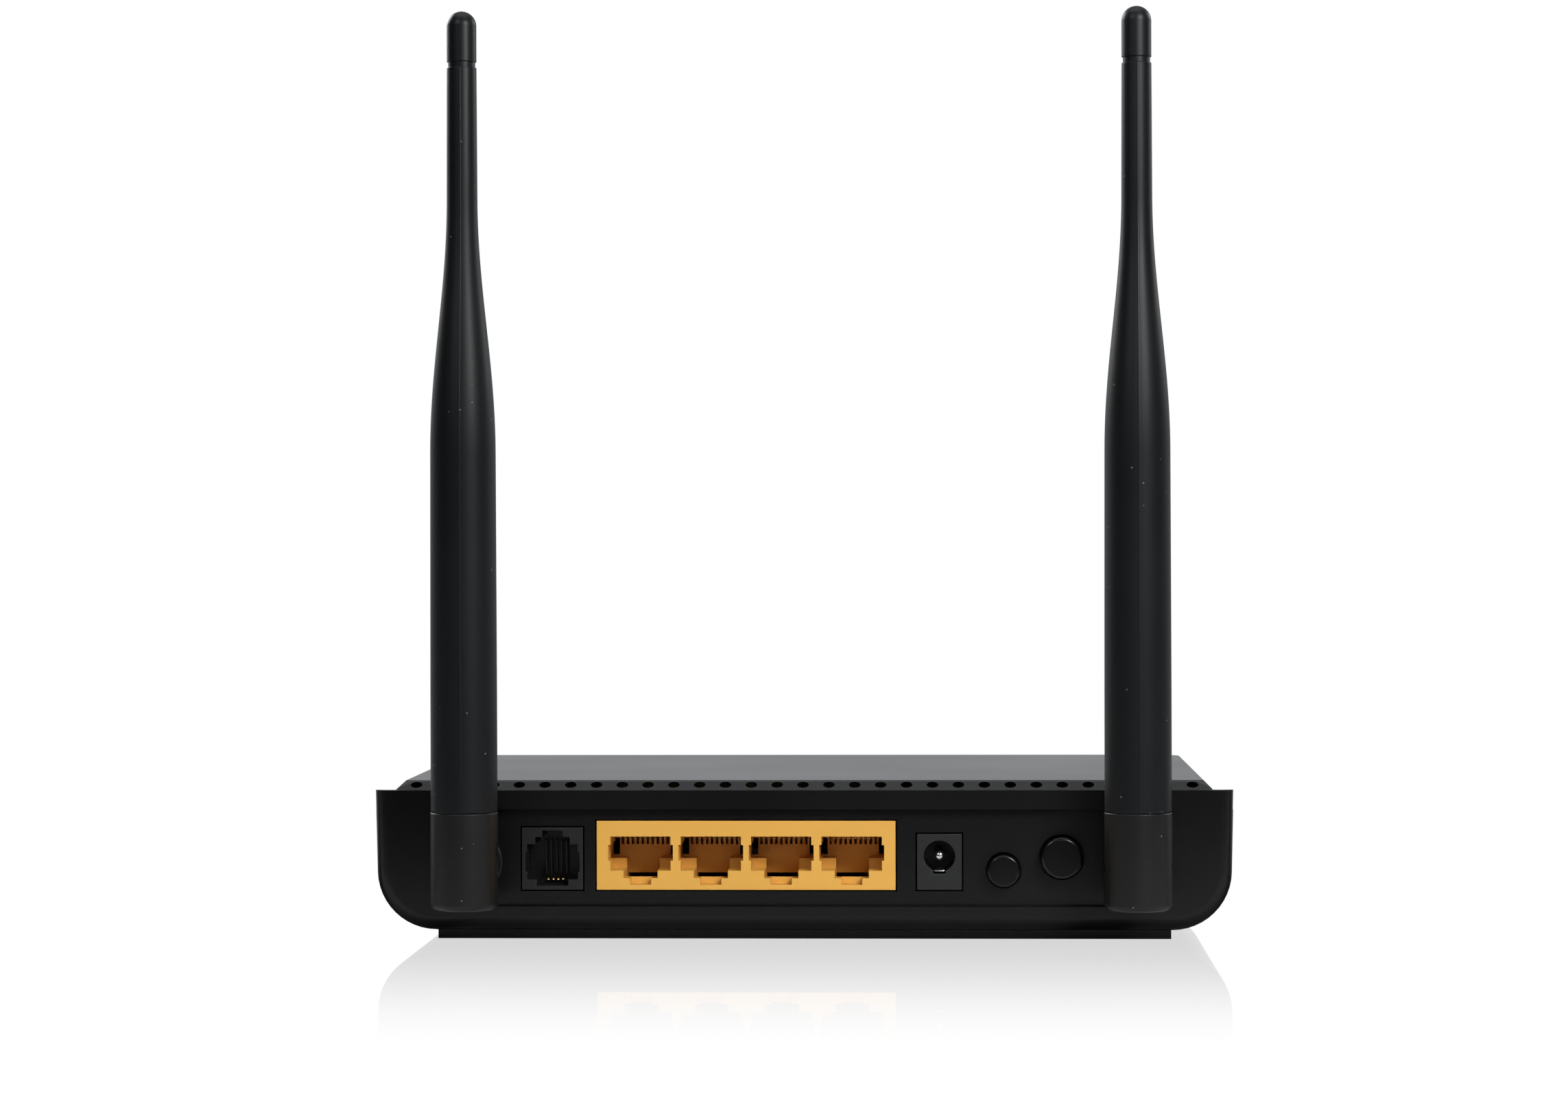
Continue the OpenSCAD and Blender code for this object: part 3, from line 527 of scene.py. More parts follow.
hinge_x = middle("right_antenna_base", 0)
hinge_y, hinge_z = middle("right_hinge_pin", 1), middle("right_hinge_pin", 2)
for s in (-1, 1):
    cutters.append(drum("cut", (s * hinge_x, y_panel - MM, hinge_z), SHAFT_R + 0.06 * MM, through))
window_low, window_high = (Vector(c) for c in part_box("led_window"))
cutters.append(box("cut", (window_low.x - 0.1 * MM, y_front - 3 * MM, window_low.z - 0.1 * MM),
                   (window_high.x + 0.1 * MM, y_front + MM, window_high.z + 0.1 * MM)))
print(f"hinges at x +-{1000 * hinge_x:.1f}, y {1000 * hinge_y:.1f}, z {1000 * hinge_z:.1f} mm")

# %% Holes in the floor for feet and screws
FOOT_IN = 8.5 * MM
below = z_plinth - MM
feet = [(x, y) for x in (-0.064, 0.064) for y in (plinth_rear + FOOT_IN, plinth_front - FOOT_IN)]
for x, y in feet:
    cutters.append(drum("cut", (x, y, below), 6 * MM, 2 * MM, "z", 48))
for x, y in case_screws:
    bore = drum("cut", (x, y, below), 1.7 * MM, 20 * MM, "z", 24)
    head_bore = drum("head_bore", (x, y, below), 3.1 * MM, 5 * MM, "z", 32)
    cutters.append(combine(bore, head_bore, "UNION"))
for x, y in board_screws:
    cutters.append(drum("cut", (x, y, z_plinth + 3 * MM), 1.3 * MM, 8 * MM, "z", 16))

# %% Keyholes, label pocket and floor slots
KEY_R, NECK_R, KEY_RUN = 4 * MM, 2 * MM, 7 * MM
SLOTS, SLOT_PITCH, SLOT_ROW = 9, 5 * MM, 27 * MM
key_y = (plinth_rear + plinth_front) / 2
for x in (-0.05, 0.05):
    entry = drum("cut", (x, key_y, below), KEY_R, 4 * MM, "z", 48)
    neck = box("neck", (x - NECK_R, key_y, below), (x + NECK_R, key_y + KEY_RUN, z_plinth + 3 * MM))
    combine(entry, neck, "UNION")
    combine(entry, drum("end", (x, key_y + KEY_RUN, below), NECK_R, 4 * MM, "z", 32), "UNION")
    cutters.append(entry)
cutters.append(box("cut", (-31 * MM, key_y - 13 * MM, below),
                   (31 * MM, key_y + 13 * MM, z_plinth + 0.3 * MM)))
for s in (-1, 1):
    row_y = key_y + s * SLOT_ROW
    for i in range(SLOTS):
        x = (i - (SLOTS - 1) / 2) * SLOT_PITCH
        cutters.append(box("cut", (x - MM, row_y - 8 * MM, -MM), (x + MM, row_y + 8 * MM, 5 * MM)))
print(len(cutters), "cutters")
combine(tray, merged("cutters", cutters))
soften(tray, 0.22 * MM)
tray.name = "housing_tray"
finished(tray, "case", "housing", "lower_housing")

# %% [markdown]
# ## Upper cover
# The lid drops between the walls and leaves them standing as a thin ledge all round. Its rim is
# a slope, made by insetting the top face and lifting it. The 31 cooling holes are drilled
# through the rear slope at an angle, so from behind they look like short ovals.

# %% Lid with its sloping rim
SLOPE_RUN, SLOPE_RISE = 3 * MM, z_lid - z_rim
SKIRT = 3 * MM


def lid_form(name, inset, low, high):
    """The outline of the lid between two heights, with its round front corners."""
    form = box(name, (inset - half_w, y_rear + inset, low), (half_w - inset, y_front - inset, high))
    round_edges(form, lambda c: all(p.y > y_front - inset - 1e-5 for p in c) and not same([p.z for p in c]),
                BOTTOM_R - inset, 12)
    return form


lid = lid_form("lid", LEDGE, z_rim - SKIRT, z_rim)
pick(lid, "FACE", lambda c: all(p.z > z_rim - 1e-6 for p in c))
bpy.ops.mesh.inset(thickness=SLOPE_RUN, depth=0, use_even_offset=True)
bpy.ops.transform.translate(value=(0, 0, SLOPE_RISE))
done()
combine(lid, shoulders("shoulder_cut"))
hollow = lid_form("lid_hollow", LEDGE + WALL, z_rim - SKIRT - MM, z_lid - WALL)
combine(hollow, shoulders("inner_shoulder_cut", WALL * math.sqrt(2)))
combine(lid, hollow)

# %% Cooling holes and screw bosses
VENTS, VENT_PITCH, VENT_R = 31, 5.15 * MM, 1.1 * MM
VENT_TILT, VENT_SQUASH = math.radians(65), (1.06, 0.8, 1)
BOSS_LOW, BOSS_R, PILOT_R = PILLAR_TOP + 0.1 * MM, 3.3 * MM, 1.55 * MM
vents = []
for i in range(VENTS):
    bpy.ops.mesh.primitive_cylinder_add(
        vertices=28, radius=VENT_R, depth=9 * MM, rotation=(VENT_TILT, 0, 0), scale=VENT_SQUASH,
        location=((i - (VENTS - 1) / 2) * VENT_PITCH, y_rear + LEDGE + 1.5 * MM, z_rim + SLOPE_RISE / 2))
    vents.append(settle(bpy.context.object, "vent"))
combine(lid, merged("vents", vents))
bosses = []
for x, y in case_screws:
    boss = drum("boss", (x, y, BOSS_LOW), BOSS_R, z_lid - WALL / 2 - BOSS_LOW, "z", 32)
    bosses.append(combine(boss, drum("pilot", (x, y, 14 * MM), PILOT_R, 11 * MM, "z", 24)))
combine(lid, merged("bosses", bosses), "UNION")
soften(lid, 0.16 * MM)
lid.name = "cover_plate"
finished(lid, "case", "cover", "upper_cover")

# %% [markdown]
# ## Network sockets
# Four sockets share one moulding. Each opening is a stack of four widths: the plug, a wider band
# for its shoulders, and two steps down for the latch, with a deep slot behind the lower one. The
# back wall has two tall windows and a comb of slots that the contacts come through.

# %% Block of four sockets
lan_low, lan_high = (Vector(c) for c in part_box("lan_jack_housing"))
lan_x = (lan_low.x + lan_high.x) / 2
LAN_PITCH = 14 * MM
PORT_DEEP = 13 * MM


def stepped_cutter(name, x, steps, depth):
    """One opening: boxes of each step's width, bottom and top, added together."""
    cutter = None
    for width, low, high in steps:
        part = box(name, (x - width * MM / 2, y_socket - MM, board_top + low * MM),
                   (x + width * MM / 2, y_socket + depth, board_top + high * MM))
        cutter = part if cutter is None else combine(cutter, part, "UNION")
    return cutter


first_x = lan_x - 1.5 * LAN_PITCH
port = stepped_cutter("port", first_x, [(12, 3.8, 10.6), (12.9, 5.8, 8.9), (6.8, 2.3, 4)], PORT_DEEP)

# %% Windows, comb and latch slot of one opening
COMB_PITCH, COMB_SLOT = 1.01 * MM, 0.5 * MM
y_back = y_socket + PORT_DEEP
z_port = board_top + 10.6 * MM
parts = []
for i in range(10):
    x = first_x + (i - 4.5) * COMB_PITCH
    parts.append(box("comb", (x - COMB_SLOT / 2, y_back - MM, z_port - 2.5 * MM),
                     (x + COMB_SLOT / 2, y_back + 2.6 * MM, z_port - 0.05 * MM)))
for s in (-1, 1):
    side = sorted((first_x + s * 5.15 * MM, first_x + s * 6.6 * MM))
    parts.append(box("window", (side[0], y_back - MM, z_port - 4.6 * MM),
                     (side[1], y_back + 4 * MM, z_port - 1.2 * MM)))
parts.append(box("latch_slot", (first_x - 3.4 * MM, y_socket + 4.4 * MM, board_top + 0.6 * MM),
                 (first_x + 3.4 * MM, y_back + 4 * MM, board_top + 2.4 * MM)))
parts.append(box("latch_notch", (first_x - 2.1 * MM, y_socket - MM, board_top + MM),
                 (first_x + 2.1 * MM, y_socket + 3.6 * MM, board_top + 2.5 * MM)))
port = combine(port, merged("back_wall_slots", parts), "UNION")

# %% The block with its four openings and their ledges
ports = [port] + [copy_of(port, "port", (i * LAN_PITCH, 0, 0)) for i in range(1, 4)]
block = box("network_socket_block", lan_low, lan_high)
combine(block, merged("ports", ports))
ledges = []
for i in range(4):
    x = first_x + i * LAN_PITCH
    for s in (-1, 1):
        side = sorted((x + s * 3.3 * MM, x + s * 6.3 * MM))
        ledges.append(box("ledge", (side[0], y_socket + 7.5 * MM, board_top + 3.6 * MM),
                          (side[1], y_back + 0.5 * MM, board_top + 5.7 * MM)))
combine(block, merged("ledges", ledges), "UNION")
soften(block, 0.12 * MM)
finished(block, "case", "lan_yellow", "lan_jack_housing")

# %% Sprung contacts
contacts = []
for i in range(4):
    for k in range(8):
        x = first_x + i * LAN_PITCH + (k - 3.5) * COMB_PITCH
        wire = box("wire", (x - 0.17 * MM, y_socket + 7 * MM, z_port - 0.5 * MM),
                   (x + 0.17 * MM, y_back + 2.2 * MM, z_port - 0.2 * MM))
        pick(wire, "FACE", lambda c: same([p.y for p in c]) and c[0].y < y_back)
        bpy.ops.transform.translate(value=(0, 0, -0.5 * MM))
        done()
        contacts.append(wire)
contacts = merged("network_contacts", contacts)
soften(contacts, 0.05 * MM, 1)
finished(contacts, "case", "gold_contact", "lan_jack_contacts")

# %% [markdown]
# ## Line socket
# The smaller socket has its latch at the top. Four contacts reach forwards over the floor, and
# their rounded ends catch the light. The side walls are let out a little where the plug runs.

# %% Line socket
dsl_low, dsl_high = (Vector(c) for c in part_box("dsl_jack_housing"))
dsl_x = (dsl_low.x + dsl_high.x) / 2
DSL_DEEP = 10.5 * MM
line_block = box("line_socket", dsl_low, dsl_high)
opening = stepped_cutter("opening", dsl_x,
                         [(10.1, 2.05, 9.05), (6.9, 9, 10.5), (4.1, 10, 11.8), (6.3, 0.8, 2.5)], DSL_DEEP)
bulge = box("bulge", (dsl_x - 5.4 * MM, y_socket - MM, board_top + 3.6 * MM),
            (dsl_x + 5.4 * MM, y_socket + DSL_DEEP, board_top + 7.4 * MM))
combine(line_block, combine(opening, bulge, "UNION"))
WIRE_PITCH, RIB_HALF, WIRE_HALF = 1.02 * MM, 0.17 * MM, 0.23 * MM
ribs = []
for i in range(5):
    x = dsl_x + (i - 2) * WIRE_PITCH
    ribs.append(box("rib", (x - RIB_HALF, y_socket + 8.5 * MM, board_top + 2.5 * MM),
                    (x + RIB_HALF, y_socket + DSL_DEEP + 0.5 * MM, board_top + 9.2 * MM)))
combine(line_block, merged("ribs", ribs), "UNION")
soften(line_block, 0.12 * MM)
finished(line_block, "case", "dark_grey", "dsl_jack_housing")

# %% Contacts of the line socket
def front_top(c):
    return all(p.y < y_socket + 7 * MM and p.z > board_top + 1.8 * MM for p in c)


wires = []
for i in range(4):
    x = dsl_x + (i - 1.5) * WIRE_PITCH
    wire = box("wire", (x - WIRE_HALF, y_socket + 6.4 * MM, board_top + 1.4 * MM),
               (x + WIRE_HALF, y_socket + DSL_DEEP + 0.4 * MM, board_top + 1.9 * MM))
    pick(wire, "EDGE", front_top)
    bpy.ops.transform.translate(value=(0, 0.25 * MM, 0))
    done()
    wires.append(wire)
wires = merged("line_contacts", wires)
soften(wires, 0.12 * MM, 3)
finished(wires, "case", "gold_contact", "dsl_jack_contacts")

# %% [markdown]
# ## Power inlet
# A square housing with a round hole, a turned centre pin with a rounded nose, and the spring leaf
# that presses on the plug from below.

# %% Power inlet
dc_low, dc_high = (Vector(c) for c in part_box("power_jack_body"))
dc_x = (dc_low.x + dc_high.x) / 2
pin_low, pin_high = (Vector(c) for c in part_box("power_jack_pin"))
dc_z = (pin_low.z + pin_high.z) / 2
inlet = box("power_inlet", dc_low, dc_high)
combine(inlet, drum("hole", (dc_x, y_socket - MM, dc_z), 3.1 * MM, 10.5 * MM, "y", 72))
combine(inlet, box("leaf_slot", (dc_x - 1.2 * MM, y_socket - MM, dc_z - 3.5 * MM),
                   (dc_x + 1.2 * MM, y_socket + 9.5 * MM, dc_z - 2 * MM)))
soften(inlet, 0.12 * MM)
finished(inlet, "case", "slate_grey", "power_jack_body")

# %% Centre pin and spring leaf
pin = drum("inlet_pin", (dc_x, pin_low.y, dc_z), 1.0 * MM, pin_high.y - pin_low.y, "y", 40)
round_edges(pin, lambda c: all(p.y < pin_low.y + 1e-5 for p in c), 0.9 * MM, 6)
bpy.ops.object.shade_smooth_by_angle(angle=SMOOTH)
finished(pin, "case", "nickel", "power_jack_pin")

leaf = box("inlet_spring", (dc_x - MM, y_socket + 1.2 * MM, dc_z - 2.8 * MM),
           (dc_x + MM, y_socket + 9.5 * MM, dc_z - 2.5 * MM))
pick(leaf, "FACE", lambda c: same([p.y for p in c]) and c[0].y < y_socket + 2 * MM)
bpy.ops.transform.translate(value=(0, 0, -0.35 * MM))
done()
soften(leaf, 0.08 * MM, 2)
finished(leaf, "case", "nickel", "power_jack_contact")

# %% [markdown]
# ## Buttons
# A cap is a short polished rod: flat face, a tight round on its edge, a flange that keeps it in
# the panel, and a stem to the switch. Three drums are joined, and the front edge is bevelled.

# %% Button caps
def button_cap(name, node, body, radius, edge):
    """A cap at its node's place, as one solid with its flange and stem."""
    low, high = (Vector(c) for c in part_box(node))
    x, z = (low.x + high.x) / 2, (low.z + high.z) / 2
    flange = y_inner + GAP
    cap = drum(name, (x, low.y, z), radius, flange - low.y, "y", 96)
    round_edges(cap, lambda c: all(p.y < low.y + 1e-6 for p in c), edge, 6)
    rest = drum("flange", (x, flange - 0.1 * MM, z), radius + FLANGE, 1.1 * MM, "y", 64)
    root_y = flange + 0.5 * MM
    combine(rest, drum("stem", (x, root_y, z), radius * 0.6, high.y - root_y, "y", 48), "UNION")
    combine(cap, rest, "UNION")
    soften(cap, 0.1 * MM)
    return finished(cap, body, "button_gloss", node)


button_cap("small_button", "wps_button_cap", "wps_button", 3.2 * MM, 0.45 * MM)
button_cap("power_button_cap_polished", "power_button_cap", "power_button", 4.15 * MM, 0.6 * MM)

# %% [markdown]
# ## Antennas
# One antenna is modelled on the left and copied to the right. The barrel at its foot is slotted
# for the hub's tongue. The sleeve is turned: a straight foot, a long waist and a thin stem. It is
# drawn as half an outline of edges and spun round its axis. All sizes are measured from the hinge.

# %% Spinning an outline
def spun(name, points, centre, steps=96):
    """A closed solid from an outline of (radius, height) pairs, spun round the upright axis."""
    mesh = bpy.data.meshes.new(name)
    corners = [(centre[0] + r, centre[1], centre[2] + h) for r, h in points]
    mesh.from_pydata(corners, [(i, i + 1) for i in range(len(corners) - 1)], [])
    obj = bpy.data.objects.new(name, mesh)
    scene.collection.objects.link(obj)
    alone(obj)
    bpy.ops.object.mode_set(mode="EDIT")
    bpy.ops.mesh.select_all(action="SELECT")
    bpy.ops.mesh.spin(steps=steps, angle=2 * math.pi, center=centre, axis=(0, 0, 1))
    bpy.ops.mesh.select_all(action="SELECT")
    bpy.ops.mesh.remove_doubles(threshold=1e-6)
    bpy.ops.mesh.normals_make_consistent(inside=False)
    done()
    bpy.ops.object.shade_smooth_by_angle(angle=SMOOTH)
    return obj


def quarter(radius, height, size, steps=6, top=False):
    """Points of a rounded corner, from the flat end to the side, or the other way for a top edge."""
    turn = [math.pi / 2 * i / steps for i in range(steps + 1)]
    if top:
        return [(radius - size + size * math.cos(a), height - size + size * math.sin(a)) for a in turn]
    return [(radius - size + size * math.sin(a), height + size - size * math.cos(a)) for a in turn]


# %% Sizes of the antenna above its hinge
BARREL_R = 6.6 * MM
HEEL = hinge_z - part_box("left_antenna_base")[0][2]
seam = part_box("left_antenna_sleeve")[0][2] - hinge_z
whip_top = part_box("left_antenna_sleeve")[1][2] - hinge_z
antenna_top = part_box("left_antenna_cap")[1][2] - hinge_z
WHIP_R, TIP_R = 6.4 * MM, 3 * MM
WAIST_LOW, WAIST_HIGH = 80.7 * MM, 131 * MM
TONGUE, TONGUE_R = 5 * MM, 4 * MM
axis_left = (-hinge_x, hinge_y, hinge_z)
print(f"antenna: seam {seam * 1000:.1f}, whip top {whip_top * 1000:.1f}, top {antenna_top * 1000:.1f} mm")

# %% Base barrel
barrel = spun("left_barrel", [(0, -HEEL)] + quarter(BARREL_R, -HEEL, 1.3 * MM)
              + [(BARREL_R, 0)] + quarter(BARREL_R, seam, 0.25 * MM, 3, top=True)
              + [(4.7 * MM, seam), (4.7 * MM, seam + 4 * MM), (0, seam + 4 * MM)], axis_left)
slot_w, open_r = TONGUE + 0.6 * MM, TONGUE_R + 0.4 * MM
slot = drum("slot", (-hinge_x - slot_w / 2, hinge_y, hinge_z), open_r, slot_w, "x", 64)
x_pair = (-hinge_x - slot_w / 2, -hinge_x + slot_w / 2)
combine(slot, box("down", (x_pair[0], hinge_y - open_r, hinge_z - 20 * MM),
                  (x_pair[1], hinge_y + open_r, hinge_z)), "UNION")
combine(slot, box("out", (x_pair[0], hinge_y, hinge_z - 20 * MM),
                  (x_pair[1], hinge_y + 20 * MM, hinge_z + open_r)), "UNION")
combine(barrel, slot)
combine(barrel, drum("pin_hole", (-hinge_x - 10 * MM, hinge_y, hinge_z), 1.52 * MM, 20 * MM, "x", 32))
combine(barrel, drum("lead_hole", axis_left, 1.1 * MM, 40 * MM, "z", 24))
soften(barrel, 0.12 * MM)

# %% Sleeve and tip
STEPS = 28
waist = [(WHIP_R + (TIP_R - WHIP_R) * (1 - math.cos(math.pi * i / STEPS)) / 2,
          WAIST_LOW + (WAIST_HIGH - WAIST_LOW) * i / STEPS) for i in range(STEPS + 1)]
stem_end = (TIP_R - 0.1 * MM, whip_top)
foot_r = BARREL_R - 0.07 * MM
sleeve_outline = ([(4.75 * MM, seam)] + quarter(foot_r, seam, 0.35 * MM, 4)
                  + [(foot_r - 0.02 * MM, seam + 24 * MM)] + waist
                  + quarter(*stem_end, 0.2 * MM, 3, top=True)
                  + [(1.6 * MM, whip_top), (1.6 * MM, WAIST_LOW), (2.6 * MM, WAIST_LOW),
                     (2.6 * MM, seam + 32 * MM), (4.75 * MM, seam + 32 * MM), (4.75 * MM, seam)])
sleeve = spun("left_whip", sleeve_outline, axis_left)


# %% Parting line of the mould
def parting_line(obj, rise):
    """A fine ridge down the side that faces the sockets' user, where the mould halves meet."""
    def on_line(c):
        return all(abs(p.x - axis_left[0]) < 1e-6 and p.y < hinge_y - 2.7 * MM for p in c)
    round_edges(obj, on_line, 0.09 * MM, 2)
    pick(obj, "EDGE", on_line)
    bpy.ops.transform.translate(value=(0, -rise, 0))
    done()
    bpy.ops.object.shade_smooth_by_angle(angle=math.radians(40))


parting_line(sleeve, 0.05 * MM)

# %% Tip with its groove and dome
tip_r = TIP_R - 0.1 * MM
dome = quarter(tip_r, antenna_top, tip_r, 12, top=True)
tip = spun("left_tip", [(0, whip_top - 5 * MM), (1.55 * MM, whip_top - 5 * MM), (1.55 * MM, whip_top),
                        (tip_r - 0.25 * MM, whip_top), (tip_r - 0.25 * MM, whip_top + 1.0 * MM)]
           + quarter(tip_r, whip_top + 1.05 * MM, 0.12 * MM, 3) + dome, axis_left, 64)

# %% Hub with its collar, shaft and tongue
collar_out = y_panel - 2.5 * MM
hub = drum("left_hub", (-hinge_x, collar_out, hinge_z), 6.3 * MM, 2.2 * MM, "y", 96)
round_edges(hub, lambda c: all(p.y < collar_out + 1e-6 for p in c), 0.5 * MM, 4)
step_ring = drum("step", (-hinge_x, collar_out - MM, hinge_z), 5.1 * MM, 1.5 * MM, "y", 96)
round_edges(step_ring, lambda c: all(p.y < collar_out - MM + 1e-6 for p in c), 0.4 * MM, 4)
combine(hub, step_ring, "UNION")
shaft_end = y_inner + 6 * MM
shaft_start = collar_out + MM
combine(hub, drum("shaft", (-hinge_x, shaft_start, hinge_z), SHAFT_R, shaft_end - shaft_start, "y", 64),
        "UNION")
combine(hub, box("tongue", (-hinge_x - TONGUE / 2, hinge_y, hinge_z - TONGUE_R),
                 (-hinge_x + TONGUE / 2, collar_out, hinge_z + TONGUE_R)), "UNION")
combine(hub, drum("eye", (-hinge_x - TONGUE / 2, hinge_y, hinge_z), TONGUE_R, TONGUE, "x", 64), "UNION")
combine(hub, drum("pin_bore", (-hinge_x - TONGUE, hinge_y, hinge_z), 1.56 * MM, 2 * TONGUE, "x", 32))
clip_y = y_inner + 0.3 * MM
groove = drum("groove", (-hinge_x, clip_y, hinge_z), 6 * MM, 0.9 * MM, "y", 64)
combine(groove, drum("core", (-hinge_x, clip_y - MM, hinge_z), 3.5 * MM, 3 * MM, "y", 64))
combine(hub, groove)
combine(hub, drum("lead_bore", (-hinge_x, hinge_y + 2.7 * MM, hinge_z), 1.1 * MM, 40 * MM, "y", 24))
soften(hub, 0.12 * MM)

# %% Both antennas ride on their bodies
antenna = ((barrel, "antenna", "antenna_base"), (sleeve, "antenna", "antenna_sleeve"),
           (tip, "antenna", "antenna_cap"), (hub, "swivel", "swivel_hub"))
for part, body, node in antenna:
    twin = copy_of(part, part.name.replace("left", "right"), (2 * hinge_x, 0, 0))
    finished(twin, f"right_{body}", "antenna_satin", f"right_{node}")
for part, body, node in antenna:
    finished(part, f"left_{body}", "antenna_satin", f"left_{node}")

# %% [markdown]
# ## Underside and front
# Four rubber feet with a soft edge and a shallow dish stand in their pockets, and a smoked window
# covers the status lights in the front wall.

# %% Feet
pads = []
for x, y in feet:
    pad = drum("pad", (x, y, 0), 5.8 * MM, 1.3 * MM, "z", 64)
    round_edges(pad, lambda c: all(p.z < 1e-6 for p in c), 0.25 * MM, 3)
    pick(pad, "FACE", lambda c: all(p.z < 1e-6 for p in c))
    bpy.ops.mesh.inset(thickness=1.2 * MM, depth=0)
    bpy.ops.mesh.inset(thickness=0.3 * MM, depth=-0.15 * MM)
    done()
    pads.append(pad)
pads = merged("foot_pads", pads)
bpy.ops.object.shade_smooth_by_angle(angle=SMOOTH)
finished(pads, "case", "rubber", "rubber_feet")

# %% Window in front of the lights
window = box("light_window", window_low, window_high)
soften(window, 0.3 * MM, 3)
finished(window, "case", "smoke", "led_window")

# %% [markdown]
# ## Finishes
# Three small node groups are shared. One makes the fine grain of a moulded surface, one scatters
# dust and bright specks, and one varies the polish in soft patches. Each material keeps its own
# shader and sets its own colour.

# %% Shared node groups
def node_group(name, inputs, outputs):
    """An empty group with its sockets, its input node and its output node."""
    group = bpy.data.node_groups.new(name, "ShaderNodeTree")
    for label, value in inputs:
        socket = group.interface.new_socket(label, in_out="INPUT", socket_type="NodeSocketFloat")
        socket.default_value = value
    for label in outputs:
        group.interface.new_socket(label, in_out="OUTPUT", socket_type="NodeSocketFloat")
    return group, group.nodes.new("NodeGroupInput"), group.nodes.new("NodeGroupOutput")


def grain_group():
    """Fine moulded texture: grain of the tool, with a softer swell under it."""
    group, given, out = node_group("moulded_grain", [("Scale", 2500.0), ("Swell", 0.35)], ["Height"])
    n, link = group.nodes, group.links.new
    coord = n.new("ShaderNodeTexCoord")
    fine = n.new("ShaderNodeTexNoise")
    fine.inputs["Detail"].default_value = 3
    link(coord.outputs["Object"], fine.inputs["Vector"])
    link(given.outputs["Scale"], fine.inputs["Scale"])
    slow = n.new("ShaderNodeTexNoise")
    slow.inputs["Scale"].default_value = 60
    link(coord.outputs["Object"], slow.inputs["Vector"])
    height = calc(group, "MULTIPLY_ADD", slow.outputs["Fac"], given.outputs["Swell"], fine.outputs["Fac"])
    link(height, out.inputs["Height"])
    return group


def dust_group():
    """Sparse pale specks: small cells of which only a few are lit."""
    sockets = [("Scale", 900.0), ("Share", 0.04), ("Size", 0.14)]
    group, given, out = node_group("dust_specks", sockets, ["Mask"])
    n, link = group.nodes, group.links.new
    coord = n.new("ShaderNodeTexCoord")
    cells = n.new("ShaderNodeTexVoronoi")
    link(coord.outputs["Object"], cells.inputs["Vector"])
    link(given.outputs["Scale"], cells.inputs["Scale"])
    small = calc(group, "LESS_THAN", cells.outputs["Distance"], given.outputs["Size"])
    split = n.new("ShaderNodeSeparateColor")
    link(cells.outputs["Color"], split.inputs[0])
    few = calc(group, "LESS_THAN", split.outputs[0], given.outputs["Share"])
    link(calc(group, "MULTIPLY", small, few), out.inputs["Mask"])
    return group


def polish_group():
    """Roughness that drifts between two values in soft patches."""
    group, given, out = node_group("polish", [("Low", 0.3), ("High", 0.4)], ["Roughness"])
    n, link = group.nodes, group.links.new
    coord = n.new("ShaderNodeTexCoord")
    patch = n.new("ShaderNodeTexNoise")
    patch.inputs["Scale"].default_value = 28
    patch.inputs["Detail"].default_value = 2
    patch.inputs["Roughness"].default_value = 0.35
    link(coord.outputs["Object"], patch.inputs["Vector"])
    spread = n.new("ShaderNodeMapRange")
    spread.inputs["From Min"].default_value = 0.3
    spread.inputs["From Max"].default_value = 0.7
    link(patch.outputs["Fac"], spread.inputs["Value"])
    link(given.outputs["Low"], spread.inputs["To Min"])
    link(given.outputs["High"], spread.inputs["To Max"])
    link(spread.outputs[0], out.inputs["Roughness"])
    return group


GRAIN, DUST, POLISH = grain_group(), dust_group(), polish_group()


# %% Building a material from the groups
def use_group(nodes, group, **values):
    """One of the shared groups, placed in a material with its own values."""
    node = nodes.new("ShaderNodeGroup")
    node.node_tree = group
    for label, value in values.items():
        node.inputs[label].default_value = value
    return node


def moulded(name, colour, rough, grain=2500.0, depth=0.02, dust=0.0, dust_colour=(0.5, 0.5, 0.5),
            tint=0.12, specular=0.5, metallic=0.0):
    """A plastic, rubber or metal with grain, uneven polish, a slight drift of colour, and dust."""
    finish = bpy.data.materials.new(name)
    finish.use_nodes = True
    n, link = finish.node_tree.nodes, finish.node_tree.links.new
    shader = n["Principled BSDF"]
    shader.inputs["Metallic"].default_value = metallic
    shader.inputs["Specular IOR Level"].default_value = specular
    polish = use_group(n, POLISH, Low=rough[0], High=rough[1])
    height = use_group(n, GRAIN, Scale=grain)
    bump = n.new("ShaderNodeBump")
    bump.inputs["Strength"].default_value = 0.6
    bump.inputs["Distance"].default_value = depth * MM
    link(height.outputs[0], bump.inputs["Height"])
    link(bump.outputs[0], shader.inputs["Normal"])
    coord = n.new("ShaderNodeTexCoord")
    cloud = n.new("ShaderNodeTexNoise")
    cloud.inputs["Scale"].default_value = 90
    cloud.inputs["Detail"].default_value = 4
    link(coord.outputs["Object"], cloud.inputs["Vector"])
    body = n.new("ShaderNodeMix")
    body.data_type = "RGBA"
    body.inputs[6].default_value = (*[c * (1 - tint) for c in colour], 1)
    body.inputs[7].default_value = (*[c * (1 + tint) for c in colour], 1)
    link(cloud.outputs["Fac"], body.inputs[0])
    if dust:
        specks = use_group(n, DUST, Share=dust)
        over = n.new("ShaderNodeMix")
        over.data_type = "RGBA"
        over.inputs[7].default_value = (*dust_colour, 1)
        link(specks.outputs[0], over.inputs[0])
        link(body.outputs[2], over.inputs[6])
        link(over.outputs[2], shader.inputs["Base Color"])
        dulled = calc(finish.node_tree, "MAXIMUM", specks.outputs[0], polish.outputs[0])
        link(dulled, shader.inputs["Roughness"])
    else:
        link(body.outputs[2], shader.inputs["Base Color"])
        link(polish.outputs[0], shader.inputs["Roughness"])
    return finish


